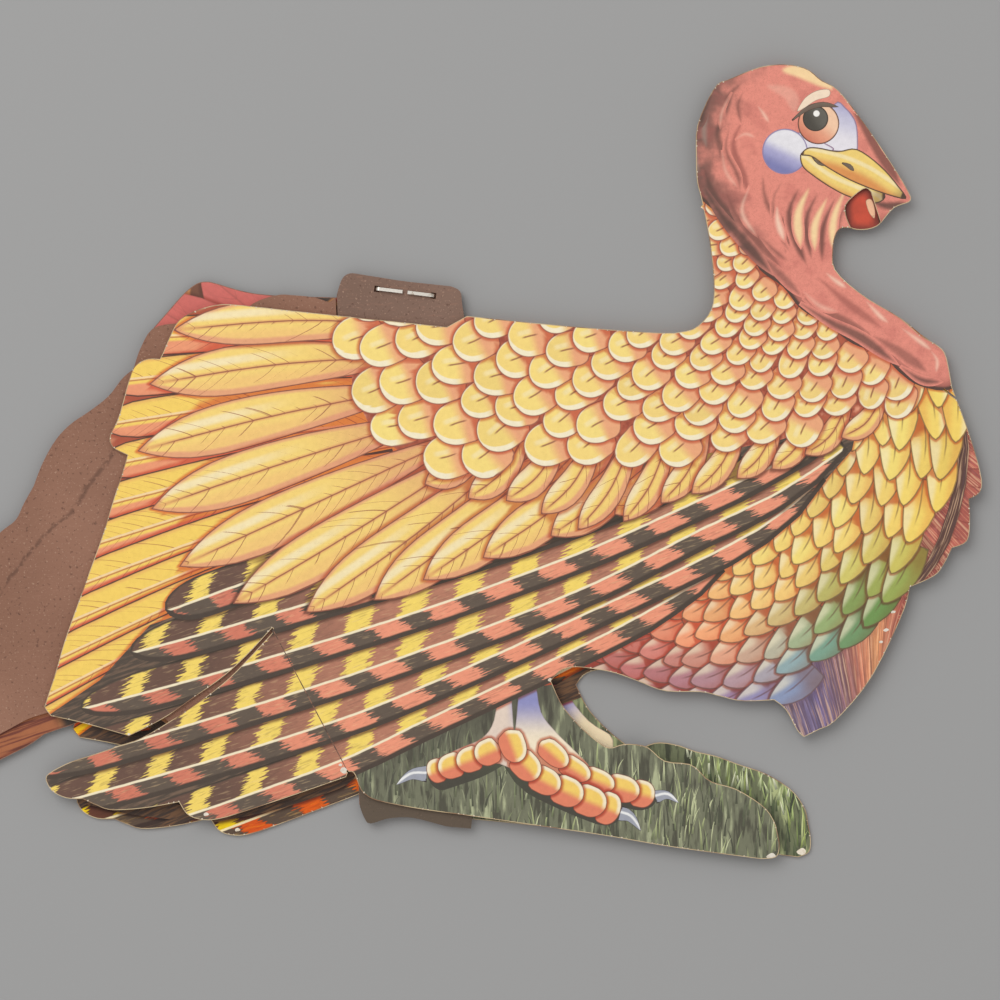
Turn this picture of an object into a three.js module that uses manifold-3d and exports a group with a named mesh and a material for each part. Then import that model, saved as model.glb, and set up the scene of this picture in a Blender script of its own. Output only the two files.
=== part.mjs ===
// A table turkey of die-cut printed card, folded flat and lying on its far side.
// Two turkey-shaped body cards are joined at the head. A tail fan of two scored halves,
// stapled along its flange, lies between them. Each body card has a scored wing flap.
// Millimetres. +X runs from the tail to the beak, +Y from the grass to the head,
// and +Z out of the near body card's print.
import * as THREE from "three";
import { mergeVertices } from "three/addons/utils/BufferGeometryUtils.js";
import Module from "manifold-3d";

const wasm = await Module();
wasm.setup();

// Outlines are shares of the square blank that the die cuts from,
// counted from its left edge and down from its top edge.
const blankWidth = 213.5;
const blankHeight = 213.5;
const blankCentreShares = [0.5, 0.5];

const boardThickness = 0.6;
// Free space between two boards that lie on each other, and across a scored fold.
const layerGap = 0.3;
const foldGap = 0.3;
// How far a cutting block runs past what it cuts.
const cutOverrun = 2;

// The staple is standard half-inch wire, pushed up through the flange and clinched on top.
const stapleLength = 12.7;
const wireThickness = 0.5;
const wireWidth = 0.7;
const wireBendRadius = 0.3;
const clinchGap = 1.1;
const staplePlay = 0.3;

// The far body card lies turned a little against the near one, about a point above the head.
const farTurn = THREE.MathUtils.degToRad(2.06);
const farPivotShares = [0.69, -0.02];

const splineSteps = 3;

// A point of the part's plane, from shares of the blank.
function onBlank([across, down]) {
  const x = (across - blankCentreShares[0]) * blankWidth;
  const y = (blankCentreShares[1] - down) * blankHeight;
  return new THREE.Vector2(x, y);
}

// A closed outline of runs. A run of two points is a straight edge, a longer one is
// a smooth curve, and the outline has a corner wherever two runs meet.
function outlineShape(outlineShares) {
  const shape = new THREE.Shape();
  const start = onBlank(outlineShares[0][0]);
  shape.moveTo(start.x, start.y);
  for (const runShares of outlineShares) {
    const points = runShares.map(onBlank);
    if (points.length === 2) shape.lineTo(points[1].x, points[1].y);
    else shape.splineThru(points.slice(1));
  }
  return shape;
}

// A smooth curve through a run of points, as a plain list of points.
function smoothPoints(runShares) {
  const curve = new THREE.SplineCurve(runShares.map(onBlank));
  return curve.getPoints(splineSteps * runShares.length);
}

// A flat board of the given shape, from one height up to another.
function boardGeometry(shape, bottom, top) {
  const options = { depth: top - bottom, bevelEnabled: false, curveSegments: splineSteps };
  const geometry = new THREE.ExtrudeGeometry(shape, options);
  return geometry.translate(0, 0, bottom);
}

// A closed geometry as a solid that can be cut.
function solidOf(geometry) {
  const bare = geometry.clone();
  bare.deleteAttribute("normal");
  bare.deleteAttribute("uv");
  const merged = mergeVertices(bare);
  const vertProperties = new Float32Array(merged.attributes.position.array);
  const triVerts = new Uint32Array(merged.index.array);
  return new wasm.Manifold(new wasm.Mesh({ numProp: 3, vertProperties, triVerts }));
}

// A cut solid back as a geometry.
function geometryOf(solid) {
  const mesh = solid.getMesh();
  const geometry = new THREE.BufferGeometry();
  geometry.setAttribute("position", new THREE.BufferAttribute(mesh.vertProperties, 3));
  geometry.setIndex(new THREE.BufferAttribute(mesh.triVerts, 1));
  const faceted = geometry.toNonIndexed();
  faceted.computeVertexNormals();
  return faceted;
}

// Everything on one side of a fold line, from a given distance off the line.
// Side 1 is to the left of the way from the fold's first point to its second.
function besideFold(fold, side, offset) {
  const [from, to] = fold.map(onBlank);
  const along = to.clone().sub(from).normalize();
  const across = new THREE.Vector2(-along.y, along.x).multiplyScalar(side);
  const reach = 2 * (blankWidth + blankHeight);
  const near = across.clone().multiplyScalar(offset);
  const far = across.clone().multiplyScalar(reach);
  const back = along.clone().multiplyScalar(-reach);
  const ahead = along.clone().multiplyScalar(reach);
  const corners = [
    from.clone().add(back).add(near),
    from.clone().add(ahead).add(near),
    from.clone().add(ahead).add(far),
    from.clone().add(back).add(far),
  ];
  const height = blankWidth;
  return solidOf(boardGeometry(new THREE.Shape(corners), -height, height));
}

// Heights of the four boards in the stack, from the far card up.
function layerBottom(index) {
  return index * (boardThickness + layerGap);
}

function layerTop(index) {
  return layerBottom(index) + boardThickness;
}

const FAR_CARD = 0;
const FAR_FAN = 1;
const NEAR_FAN = 2;
const NEAR_CARD = 3;

// The runs of the body card's outline, clockwise from the back of the head.
const crownShares = [
  [0.696, 0.15], [0.698, 0.123], [0.715, 0.087], [0.73, 0.079], [0.76, 0.067], [0.786, 0.0645],
  [0.807, 0.069], [0.821, 0.08], [0.839, 0.091], [0.864, 0.123], [0.88, 0.146], [0.902, 0.18],
  [0.911, 0.197],
];
const beakUndersideShares = [[0.911, 0.197], [0.909, 0.202], [0.894, 0.208], [0.881, 0.223]];
const snoodNotchShares = [
  [0.871, 0.192], [0.864, 0.1885], [0.847, 0.203], [0.846, 0.215], [0.851, 0.228],
];
const throatShares = [
  [0.851, 0.228], [0.842, 0.228], [0.836, 0.234], [0.833, 0.25], [0.836, 0.271], [0.864, 0.296],
  [0.899, 0.317], [0.92, 0.335], [0.937, 0.345], [0.946, 0.356], [0.952, 0.387],
];
const frillShares = [
  [[0.952, 0.387], [0.969, 0.433], [0.981, 0.475], [0.98, 0.492], [0.969, 0.499]],
  [[0.969, 0.499], [0.97, 0.52], [0.967, 0.541], [0.952, 0.548]],
  [[0.952, 0.548], [0.944, 0.564], [0.934, 0.576], [0.91, 0.587]],
];
const beardShares = [
  [[0.91, 0.587], [0.902, 0.615], [0.871, 0.678], [0.836, 0.72], [0.818, 0.73], [0.804, 0.737]],
  [[0.804, 0.737], [0.797, 0.73], [0.786, 0.71], [0.774, 0.7]],
];
const bellyShares = [
  [0.774, 0.7], [0.742, 0.701], [0.719, 0.696], [0.701, 0.692], [0.665, 0.691], [0.64, 0.682],
  [0.615, 0.673], [0.594, 0.669], [0.574, 0.667], [0.56, 0.671], [0.551, 0.681],
];
const legGapShares = [
  [0.551, 0.681], [0.56, 0.701], [0.569, 0.714], [0.585, 0.731], [0.604, 0.746], [0.613, 0.7475],
];
const grassTopShares = [
  [0.613, 0.7475], [0.626, 0.744], [0.647, 0.747], [0.665, 0.761], [0.692, 0.765], [0.71, 0.781],
  [0.736, 0.789], [0.763, 0.806], [0.774, 0.821], [0.7775, 0.833],
];
const grassEndShares = [[0.7775, 0.833], [0.7795, 0.846], [0.776, 0.857], [0.761, 0.859]];
const grassFootShares = [
  [0.761, 0.859], [0.672, 0.847], [0.608, 0.836], [0.54, 0.826], [0.471, 0.816], [0.42, 0.809],
  [0.379, 0.801], [0.366, 0.795], [0.36, 0.788], [0.354, 0.773], [0.348, 0.772],
];
const barTipShares = [
  [[0.348, 0.772], [0.346, 0.777]],
  [[0.346, 0.777], [0.3, 0.793], [0.255, 0.808], [0.223, 0.818], [0.204, 0.82], [0.188, 0.815],
    [0.179, 0.802]],
  [[0.179, 0.802], [0.145, 0.808], [0.112, 0.81], [0.096, 0.805], [0.083, 0.799]],
  [[0.083, 0.799], [0.066, 0.798], [0.052, 0.791], [0.046, 0.781]],
  [[0.046, 0.781], [0.048, 0.774], [0.068, 0.763], [0.089, 0.756], [0.113, 0.748]],
];
const slitMouthShares = [[0.113, 0.748], [0.129, 0.736]];
const tailCornerShares = [
  [[0.129, 0.736], [0.105, 0.729], [0.079, 0.722], [0.051, 0.716]],
  [[0.051, 0.716], [0.045, 0.708], [0.046, 0.702], [0.056, 0.671], [0.066, 0.637], [0.089, 0.573],
    [0.102, 0.537], [0.115, 0.495], [0.122, 0.474], [0.1275, 0.455]],
];
const rearTabShares = [
  [0.1275, 0.455], [0.115, 0.449], [0.11, 0.442], [0.111, 0.433], [0.119, 0.416], [0.129, 0.38],
  [0.135, 0.366], [0.147, 0.359], [0.16, 0.359],
];
const shoulderShares = [
  [[0.16, 0.359], [0.163, 0.353]],
  [[0.163, 0.353], [0.171, 0.334], [0.1795, 0.32], [0.195, 0.311], [0.216, 0.305], [0.239, 0.305],
    [0.3, 0.3116], [0.447, 0.327]],
  [[0.447, 0.327], [0.467, 0.316]],
];
const backShares = [[0.467, 0.316], [0.555, 0.325], [0.643, 0.332], [0.674, 0.333]];
const napeShares = [
  [0.674, 0.333], [0.695, 0.328], [0.711, 0.31], [0.714, 0.285], [0.71, 0.243], [0.702, 0.201],
  [0.697, 0.18], [0.696, 0.15],
];

const nearCardShares = [
  crownShares,
  beakUndersideShares,
  [beakUndersideShares.at(-1), snoodNotchShares[0]],
  snoodNotchShares,
  throatShares,
  ...frillShares,
  ...beardShares,
  bellyShares,
  legGapShares,
  grassTopShares,
  grassEndShares,
  grassFootShares,
  ...barTipShares,
  slitMouthShares,
  ...tailCornerShares,
  rearTabShares,
  ...shoulderShares,
  backShares,
  napeShares,
];

// The far card has no beard, frill or snood notch, and its head lies just inside the near one.
const farCrownShares = [
  [0.7, 0.15], [0.701, 0.124], [0.714, 0.094], [0.728, 0.085], [0.758, 0.074], [0.784, 0.072],
  [0.802, 0.077], [0.817, 0.088], [0.834, 0.1], [0.856, 0.131], [0.871, 0.153], [0.89, 0.186],
  [0.898, 0.202],
];
const farBeakUndersideShares = [[0.898, 0.202], [0.884, 0.209], [0.866, 0.216], [0.842, 0.224]];
const farThroatShares = [
  [0.842, 0.224], [0.826, 0.234], [0.822, 0.25], [0.826, 0.274], [0.854, 0.302], [0.889, 0.324],
  [0.909, 0.341], [0.924, 0.354], [0.93, 0.374],
];
const farBreastShares = [
  [0.93, 0.374], [0.938, 0.42], [0.94, 0.47], [0.932, 0.512], [0.913, 0.55], [0.888, 0.597],
  [0.856, 0.642], [0.815, 0.68], [0.774, 0.7],
];
const farGrassTopShares = [
  [0.613, 0.7475], [0.63, 0.742], [0.65, 0.745], [0.668, 0.752], [0.69, 0.758], [0.712, 0.767],
  [0.738, 0.777], [0.763, 0.794], [0.776, 0.813], [0.779, 0.829],
];
const farGrassEndShares = [[0.779, 0.829], [0.781, 0.843], [0.779, 0.857], [0.768, 0.862]];

const farCardShares = [
  farCrownShares,
  farBeakUndersideShares,
  farThroatShares,
  farBreastShares,
  bellyShares,
  legGapShares,
  farGrassTopShares,
  farGrassEndShares,
  [farGrassEndShares.at(-1), ...grassFootShares.slice(1)],
  ...barTipShares,
  slitMouthShares,
  ...tailCornerShares,
  rearTabShares,
  ...shoulderShares,
  backShares,
  [...napeShares.slice(0, -1), farCrownShares[0]],
];

// Folds: the crease across the neck, the wing flap's score and the tail fan's score.
const neckFoldShares = [[0.7, 0.205], [0.945, 0.39]];
const flapFoldShares = [[0.272, 0.628], [0.348, 0.772]];
const fanFoldShares = [[0.336, 0.297], [0.359, 0.805]];

// The curved slit above the wing flap. Its upper edge is the body's and its lower edge the flap's.
const slitUpperShares = [
  [0.272, 0.628], [0.248, 0.654], [0.224, 0.676], [0.196, 0.696], [0.164, 0.718], [0.129, 0.736],
];
const slitLowerShares = [
  [0.2745, 0.6305], [0.25, 0.657], [0.227, 0.68], [0.2, 0.701], [0.168, 0.7225], [0.138, 0.7395],
  [0.113, 0.747],
];
// Round the wing flap, clear of its outline, from the slit's mouth to the top of the score.
const flapSurroundShares = [[0, 0.745], [0, 0.9], [0.42, 0.9], [0.42, 0.628]];

// All that lies below one edge of the slit, left of the score.
function flapBlock(slitEdge, offset) {
  const points = [...smoothPoints(slitEdge), ...flapSurroundShares.map(onBlank)];
  const height = blankWidth;
  const region = solidOf(boardGeometry(new THREE.Shape(points), -height, height));
  return region.intersect(besideFold(flapFoldShares, -1, offset));
}

// A body card cut along its slit and score into the card and its wing flap.
function cutWingFlap(card) {
  const body = card.subtract(flapBlock(slitUpperShares, -foldGap / 2));
  const flap = card.intersect(flapBlock(slitLowerShares, foldGap / 2));
  return { body, flap };
}

function cardSolid(outlineShares, layer) {
  return solidOf(boardGeometry(outlineShape(outlineShares), layerBottom(layer), layerTop(layer)));
}

// The near card, creased across the neck, with its wing flap.
function nearCardPieces() {
  const card = cardSolid(nearCardShares, NEAR_CARD);
  const head = card.intersect(besideFold(neckFoldShares, 1, foldGap / 2));
  const trunk = card.intersect(besideFold(neckFoldShares, -1, foldGap / 2));
  const { body, flap } = cutWingFlap(trunk);
  return { head, body, flap };
}

// The glued lap that joins the two heads. It fills the height that the fan takes lower down.
const gluedLapShares = [
  [[0.706, 0.15], [0.712, 0.122], [0.731, 0.094], [0.76, 0.083], [0.79, 0.081], [0.815, 0.094],
    [0.838, 0.112], [0.854, 0.132], [0.868, 0.156], [0.866, 0.17], [0.834, 0.182], [0.824, 0.21],
    [0.82, 0.245], [0.824, 0.278], [0.852, 0.306], [0.887, 0.328], [0.908, 0.343]],
  [[0.908, 0.343], [0.892, 0.344]],
  [[0.892, 0.344], [0.714, 0.21]],
  [[0.714, 0.21], [0.707, 0.18], [0.706, 0.15]],
];

function gluedLapGeometry() {
  return boardGeometry(outlineShape(gluedLapShares), layerBottom(FAR_FAN), layerTop(NEAR_FAN));
}

// The red tongue that shows through the notch under the beak.
const snoodShares = [
  [0.84, 0.203], [0.846, 0.191], [0.858, 0.186], [0.87, 0.188], [0.878, 0.2], [0.883, 0.213],
  [0.8805, 0.2235], [0.868, 0.229], [0.852, 0.228], [0.842, 0.218], [0.84, 0.203],
];

function snoodGeometry() {
  return boardGeometry(outlineShape([snoodShares]), layerBottom(NEAR_FAN), layerTop(NEAR_FAN));
}

// The scalloped edge of each half of the tail fan, from the top of its score round to the foot.
const nearFanShares = [
  [[0.336, 0.297], [0.329, 0.302]],
  [[0.329, 0.302], [0.313, 0.297], [0.293, 0.295], [0.276, 0.295], [0.25, 0.305], [0.225, 0.331]],
  [[0.225, 0.331], [0.205, 0.325], [0.18, 0.323], [0.153, 0.328], [0.14, 0.348], [0.133, 0.369]],
  [[0.133, 0.369], [0.122, 0.378], [0.108, 0.396], [0.089, 0.411], [0.07, 0.424], [0.055, 0.44],
    [0.042, 0.463], [0.033, 0.486]],
  [[0.033, 0.486], [0.023, 0.504], [0.015, 0.52], [0, 0.532], [-0.026, 0.557], [-0.048, 0.592],
    [-0.06, 0.632]],
  [[-0.06, 0.632], [-0.076, 0.662], [-0.082, 0.7], [-0.074, 0.735], [-0.052, 0.752],
    [-0.026, 0.748], [0, 0.734]],
  [[0, 0.734], [0.011, 0.728], [0.028, 0.719], [0.047, 0.713]],
  [[0.047, 0.713], [0.08, 0.703], [0.12, 0.702], [0.16, 0.716], [0.185, 0.74]],
  [[0.185, 0.74], [0.22, 0.738], [0.26, 0.748], [0.29, 0.768]],
  [[0.29, 0.768], [0.312, 0.764], [0.336, 0.767], [0.3577, 0.776]],
];
const farFanShares = [
  [[0.336, 0.297], [0.302, 0.296], [0.276, 0.295]],
  [[0.276, 0.295], [0.255, 0.293], [0.236, 0.289], [0.216, 0.283], [0.206, 0.281],
    [0.196, 0.283], [0.183, 0.293], [0.167, 0.311], [0.153, 0.327]],
  [[0.153, 0.327], [0.146, 0.35], [0.138, 0.375], [0.125, 0.386], [0.11, 0.402]],
  [[0.11, 0.402], [0.085, 0.42], [0.068, 0.436], [0.052, 0.46], [0.042, 0.486]],
  [[0.042, 0.486], [0.03, 0.51], [0.006, 0.54], [-0.018, 0.566], [-0.04, 0.6], [-0.052, 0.64]],
  [[-0.052, 0.64], [-0.068, 0.672], [-0.075, 0.715], [-0.07, 0.752], [-0.052, 0.772],
    [-0.026, 0.772], [0, 0.76]],
  [[0, 0.76], [0.014, 0.753], [0.029, 0.745], [0.043, 0.735]],
  [[0.043, 0.735], [0.057, 0.73], [0.072, 0.725], [0.1, 0.714], [0.135, 0.712], [0.165, 0.724],
    [0.19, 0.745]],
  [[0.19, 0.745], [0.225, 0.743], [0.262, 0.752], [0.292, 0.771]],
  [[0.292, 0.771], [0.314, 0.766], [0.338, 0.768], [0.3577, 0.776]],
  [[0.3577, 0.776], [0.359, 0.805]],
];

// The flange that the staple goes through. Its tabs stand out above and below the body cards.
const flangeShares = [
  [[0.359, 0.805], [0.364, 0.818], [0.37, 0.824], [0.388, 0.819], [0.411, 0.818],
    [0.436, 0.824], [0.448, 0.827], [0.471, 0.829]],
  [[0.471, 0.829], [0.472, 0.819]],
  [[0.472, 0.819], [0.464, 0.316]],
  [[0.464, 0.316], [0.462, 0.303], [0.46, 0.291], [0.451, 0.286]],
  [[0.451, 0.286], [0.405, 0.281], [0.379, 0.277], [0.36, 0.274]],
  [[0.36, 0.274], [0.35, 0.273], [0.343, 0.277], [0.339, 0.286], [0.336, 0.297]],
];

// Where the staple's two legs go through the flange.
const stapleStartShares = [0.376, 0.2885];
const stapleEndShares = [0.434, 0.2955];

function staplePlacing() {
  const from = onBlank(stapleStartShares);
  const to = onBlank(stapleEndShares);
  const centre = from.clone().add(to).multiplyScalar(1 / 2);
  return { centre, angle: to.clone().sub(from).angle() };
}

// The wire's side view: a flat crown under the flange, two legs and two ends clinched inwards.
function stapleGeometry() {
  const halfLength = stapleLength / 2;
  const halfGap = clinchGap / 2;
  const bottom = layerBottom(FAR_FAN) - layerGap - wireThickness;
  const top = layerTop(NEAR_FAN) + layerGap + wireThickness;
  const radius = wireBendRadius + wireThickness;
  const side = new THREE.Shape();
  side.moveTo(-halfGap, top);
  side.lineTo(-halfLength + radius, top);
  side.absarc(-halfLength + radius, top - radius, radius, Math.PI / 2, Math.PI);
  side.lineTo(-halfLength, bottom + radius);
  side.absarc(-halfLength + radius, bottom + radius, radius, Math.PI, 1.5 * Math.PI);
  side.lineTo(halfLength - radius, bottom);
  side.absarc(halfLength - radius, bottom + radius, radius, 1.5 * Math.PI, 2 * Math.PI);
  side.lineTo(halfLength, top - radius);
  side.absarc(halfLength - radius, top - radius, radius, 0, Math.PI / 2);
  side.lineTo(halfGap, top);
  side.lineTo(halfGap, top - wireThickness);
  side.lineTo(halfLength - radius, top - wireThickness);
  side.absarc(halfLength - radius, top - radius, wireBendRadius, Math.PI / 2, 0, true);
  side.lineTo(halfLength - wireThickness, bottom + radius);
  side.absarc(halfLength - radius, bottom + radius, wireBendRadius, 2 * Math.PI, 1.5 * Math.PI, true);
  side.lineTo(-halfLength + radius, bottom + wireThickness);
  side.absarc(-halfLength + radius, bottom + radius, wireBendRadius, 1.5 * Math.PI, Math.PI, true);
  side.lineTo(-halfLength + wireThickness, top - radius);
  side.absarc(-halfLength + radius, top - radius, wireBendRadius, Math.PI, Math.PI / 2, true);
  side.lineTo(-halfGap, top - wireThickness);
  const bendSteps = 6;
  const options = { depth: wireWidth, bevelEnabled: false, curveSegments: bendSteps };
  const geometry = new THREE.ExtrudeGeometry(side, options);
  // The side view stands up along Z, centred on the wire's width.
  geometry.translate(0, 0, -wireWidth / 2);
  return geometry.rotateX(Math.PI / 2);
}

// A block that cuts both leg holes, with play all round the wire.
function stapleHoles() {
  const { centre, angle } = staplePlacing();
  const height = layerTop(NEAR_CARD) + 2 * cutOverrun;
  const legOffset = stapleLength / 2 - wireThickness / 2;
  const holeLength = wireThickness + 2 * staplePlay;
  const holeWidth = wireWidth + 2 * staplePlay;
  const cuts = [-legOffset, legOffset].map((offset) => {
    const block = new THREE.BoxGeometry(holeLength, holeWidth, height);
    block.translate(offset, 0, height / 2 - cutOverrun);
    block.rotateZ(angle).translate(centre.x, centre.y, 0);
    return solidOf(block);
  });
  return cuts[0].add(cuts[1]);
}

// One fan half with its flange, scored between them. The near one folds at its score.
function nearFanPieces() {
  const holes = stapleHoles();
  const scoreEdge = [nearFanShares.at(-1).at(-1), nearFanShares[0][0]];
  const half = cardSolid([...nearFanShares, scoreEdge], NEAR_FAN);
  const flange = cardSolid([fanFoldShares, ...flangeShares], NEAR_FAN).subtract(holes);
  return {
    half: half.intersect(besideFold(fanFoldShares, -1, foldGap / 2)),
    flange: flange.intersect(besideFold(fanFoldShares, 1, foldGap / 2)),
  };
}

function farFanSolid() {
  return cardSolid([...farFanShares, ...flangeShares], FAR_FAN).subtract(stapleHoles());
}

function named(name, geometry, material) {
  const mesh = new THREE.Mesh(geometry, material);
  mesh.name = name;
  return mesh;
}

function cardMaterial(color) {
  return new THREE.MeshStandardMaterial({ color, roughness: 0.6, metalness: 0 });
}

// The far card and its flap, turned together about the point above the head.
function farCardGroup() {
  const pivot = onBlank(farPivotShares);
  const { body, flap } = cutWingFlap(cardSolid(farCardShares, FAR_CARD));
  const turned = new THREE.Group();
  turned.position.set(pivot.x, pivot.y, 0);
  turned.rotation.z = farTurn;
  for (const [name, solid, color] of [
    ["far_body_card", body, 0xa8862f],
    ["far_wing_flap", flap, 0x8a5a3c],
  ]) {
    const mesh = named(name, geometryOf(solid), cardMaterial(color));
    mesh.position.set(-pivot.x, -pivot.y, 0);
    turned.add(mesh);
  }
  return turned;
}

function headGroup(head) {
  const group = new THREE.Group();
  group.add(named("head_glue_pad", gluedLapGeometry(), cardMaterial(0x9c8468)));
  group.add(named("snood", snoodGeometry(), cardMaterial(0xa83a2c)));
  group.add(named("near_head_card", geometryOf(head), cardMaterial(0xd07a6a)));
  return group;
}

function nearSideGroup(body, flap) {
  const group = new THREE.Group();
  group.add(named("near_body_card", geometryOf(body), cardMaterial(0xe8c460)));
  group.add(named("near_wing_flap", geometryOf(flap), cardMaterial(0xb87850)));
  return group;
}

function stapleMesh() {
  const { centre, angle } = staplePlacing();
  const steel = { color: 0xb8b4ac, roughness: 0.35, metalness: 1 };
  const staple = named("fan_staple", stapleGeometry(), new THREE.MeshStandardMaterial(steel));
  staple.position.set(centre.x, centre.y, 0);
  staple.rotation.z = angle;
  return staple;
}

function fanGroup() {
  const { half, flange } = nearFanPieces();
  const group = new THREE.Group();
  group.add(named("far_fan_half", geometryOf(farFanSolid()), cardMaterial(0x8c4632)));
  group.add(named("near_fan_flange", geometryOf(flange), cardMaterial(0x7d675c)));
  group.add(named("near_fan_half", geometryOf(half), cardMaterial(0x916c5c)));
  group.add(stapleMesh());
  return group;
}

const turkey = new THREE.Group();
const nearCard = nearCardPieces();
turkey.add(farCardGroup());
turkey.add(fanGroup());
turkey.add(headGroup(nearCard.head));
turkey.add(nearSideGroup(nearCard.body, nearCard.flap));

export default turkey;
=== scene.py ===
import math
import random

import bpy
import numpy as np
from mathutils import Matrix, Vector
from mathutils.geometry import delaunay_2d_cdt


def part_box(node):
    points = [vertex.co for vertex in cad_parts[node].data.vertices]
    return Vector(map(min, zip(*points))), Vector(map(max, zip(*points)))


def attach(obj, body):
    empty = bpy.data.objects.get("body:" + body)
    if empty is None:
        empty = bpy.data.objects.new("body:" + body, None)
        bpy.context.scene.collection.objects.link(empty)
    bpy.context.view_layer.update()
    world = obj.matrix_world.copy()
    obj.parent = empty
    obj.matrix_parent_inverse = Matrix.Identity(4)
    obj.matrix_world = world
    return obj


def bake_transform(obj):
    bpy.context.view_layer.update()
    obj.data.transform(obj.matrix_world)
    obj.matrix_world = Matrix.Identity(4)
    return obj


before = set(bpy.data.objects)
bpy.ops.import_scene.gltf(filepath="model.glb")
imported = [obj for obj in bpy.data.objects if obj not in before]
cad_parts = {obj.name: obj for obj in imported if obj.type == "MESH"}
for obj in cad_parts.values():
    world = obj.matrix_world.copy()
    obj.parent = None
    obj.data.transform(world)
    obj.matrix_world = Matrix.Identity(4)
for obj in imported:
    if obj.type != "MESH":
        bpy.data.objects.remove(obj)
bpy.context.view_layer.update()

# The table under the turkey, the light of a plain photo corner and the camera.
# The table is grey card, seen from straight above, and the light is wide and soft.
# The camera looks down on the middle of the blank that the near card is cut from.
blank = 0.2135
card_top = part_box("near_body_card")[1][2]
camera_height = 0.65
sensor_width = 36.0
table_half, table_drop = 4.0, 0.0002
lamp_spot = Vector((-0.45, 0.55, 1.0))


def linear(*channels):
    """A print colour, given as the 0 to 255 values of a screen, as the shader's own."""
    shares = [channel / 255 for channel in channels]
    return tuple(s / 12.92 if s <= 0.04045 else ((s + 0.055) / 1.055) ** 2.4 for s in shares) + (1.0,)


class Wire:
    """One output in a node tree. Its sums, products and smooth steps are nodes too."""

    def __init__(self, socket):
        self.socket = socket

    def worked(self, operation, second=0.0):
        return node(self.socket.id_data, "ShaderNodeMath", {0: self, 1: second}, operation=operation)[0]

    def __add__(self, other):
        return self.worked("ADD", other)

    def __sub__(self, other):
        return self.worked("SUBTRACT", other)

    def __rsub__(self, other):
        return node(self.socket.id_data, "ShaderNodeMath", {0: other, 1: self}, operation="SUBTRACT")[0]

    def __mul__(self, other):
        return self.worked("MULTIPLY", other)

    def __truediv__(self, other):
        return self.worked("DIVIDE", other)

    def __abs__(self):
        return self.worked("ABSOLUTE")

    def above(self, low, high):
        """0 below low and 1 above high, with a smooth way between them."""
        inputs = {"Value": self, "From Min": low, "From Max": high}
        step = node(self.socket.id_data, "ShaderNodeMapRange", inputs, interpolation_type="SMOOTHSTEP", clamp=True)
        return step["Result"]

    def below(self, low, high):
        """1 below low and 0 above high, with a smooth way between them."""
        return 1.0 - self.above(low, high)

    def within(self, inner, outer):
        """1 where its size is below inner, and 0 where that is above outer."""
        return abs(self).below(inner, outer)


class Outputs:
    """A node's outputs as wires, by name or index."""

    def __init__(self, made):
        self.made = made

    def __getitem__(self, name):
        return Wire(self.made.outputs[name])


def fill(made, inputs):
    """Gives a node its inputs, by name or index, as values or as wires."""
    for name, value in inputs.items():
        if isinstance(value, Wire):
            made.id_data.links.new(value.socket, made.inputs[name])
        else:
            made.inputs[name].default_value = value


def node(tree, kind, inputs=None, **settings):
    """The outputs of a new node with its settings and inputs."""
    made = tree.nodes.new(kind)
    for name, value in settings.items():
        setattr(made, name, value)
    fill(made, inputs or {})
    return Outputs(made)


def spot_in(tree):
    """The place on the object."""
    return node(tree, "ShaderNodeTexCoord")["Object"]


def noise(place, scale, detail, **more):
    """Noise at a place, about 0.5."""
    inputs = {"Vector": place, "Scale": scale, "Detail": detail, **more}
    return node(place.socket.id_data, "ShaderNodeTexNoise", inputs)["Fac"]


def mixed(share, first, second, blend="MIX"):
    """Two colours mixed by a share. One that is three numbers is a print colour."""
    tree = next(item.socket.id_data for item in (share, first, second) if isinstance(item, Wire))
    pair = [linear(*c) if isinstance(c, tuple) and len(c) == 3 else c for c in (first, second)]
    inputs = {0: share, 6: pair[0], 7: pair[1]}
    return node(tree, "ShaderNodeMix", inputs, data_type="RGBA", blend_type=blend, clamp_factor=True)[2]


def new_material(name):
    """A material, its tree and its Principled shader."""
    made = bpy.data.materials.new(name)
    made.use_nodes = True
    return made, made.node_tree, made.node_tree.nodes["Principled BSDF"]


def in_scene(name, data):
    """A new object in the scene."""
    made = bpy.data.objects.new(name, data)
    bpy.context.collection.objects.link(made)
    return made


def table_material():
    made, tree, surface = new_material("table_grey")
    colour = mixed(noise(spot_in(tree), 3.0, 2.0), (163, 163, 163), (166, 166, 166))
    fill(surface, {"Base Color": colour, "Roughness": 0.9})
    # From below the table is clear.
    clear = node(tree, "ShaderNodeBsdfTransparent")[0]
    under = node(tree, "ShaderNodeNewGeometry")["Backfacing"]
    seen = node(tree, "ShaderNodeMixShader", {0: under, 1: Wire(surface.outputs[0]), 2: clear})[0]
    fill(tree.nodes["Material Output"], {"Surface": seen})
    return made


bpy.context.scene.view_settings.view_transform = "Standard"
table_mesh = bpy.data.meshes.new("table")
table_corners = [(x * table_half, y * table_half, -table_drop) for x, y in ((-1, -1), (1, -1), (1, 1), (-1, 1))]
table_mesh.from_pydata(table_corners, [], [(0, 1, 2, 3)])
table_mesh.materials.append(table_material())
in_scene("table", table_mesh)

lens = bpy.data.cameras.new("camera")
lens.sensor_width = sensor_width
lens.lens = sensor_width * (camera_height - card_top) / blank
lens.clip_start = 0.01
camera = in_scene("camera", lens)
camera.location = (0, 0, camera_height)
bpy.context.scene.camera = camera

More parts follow.
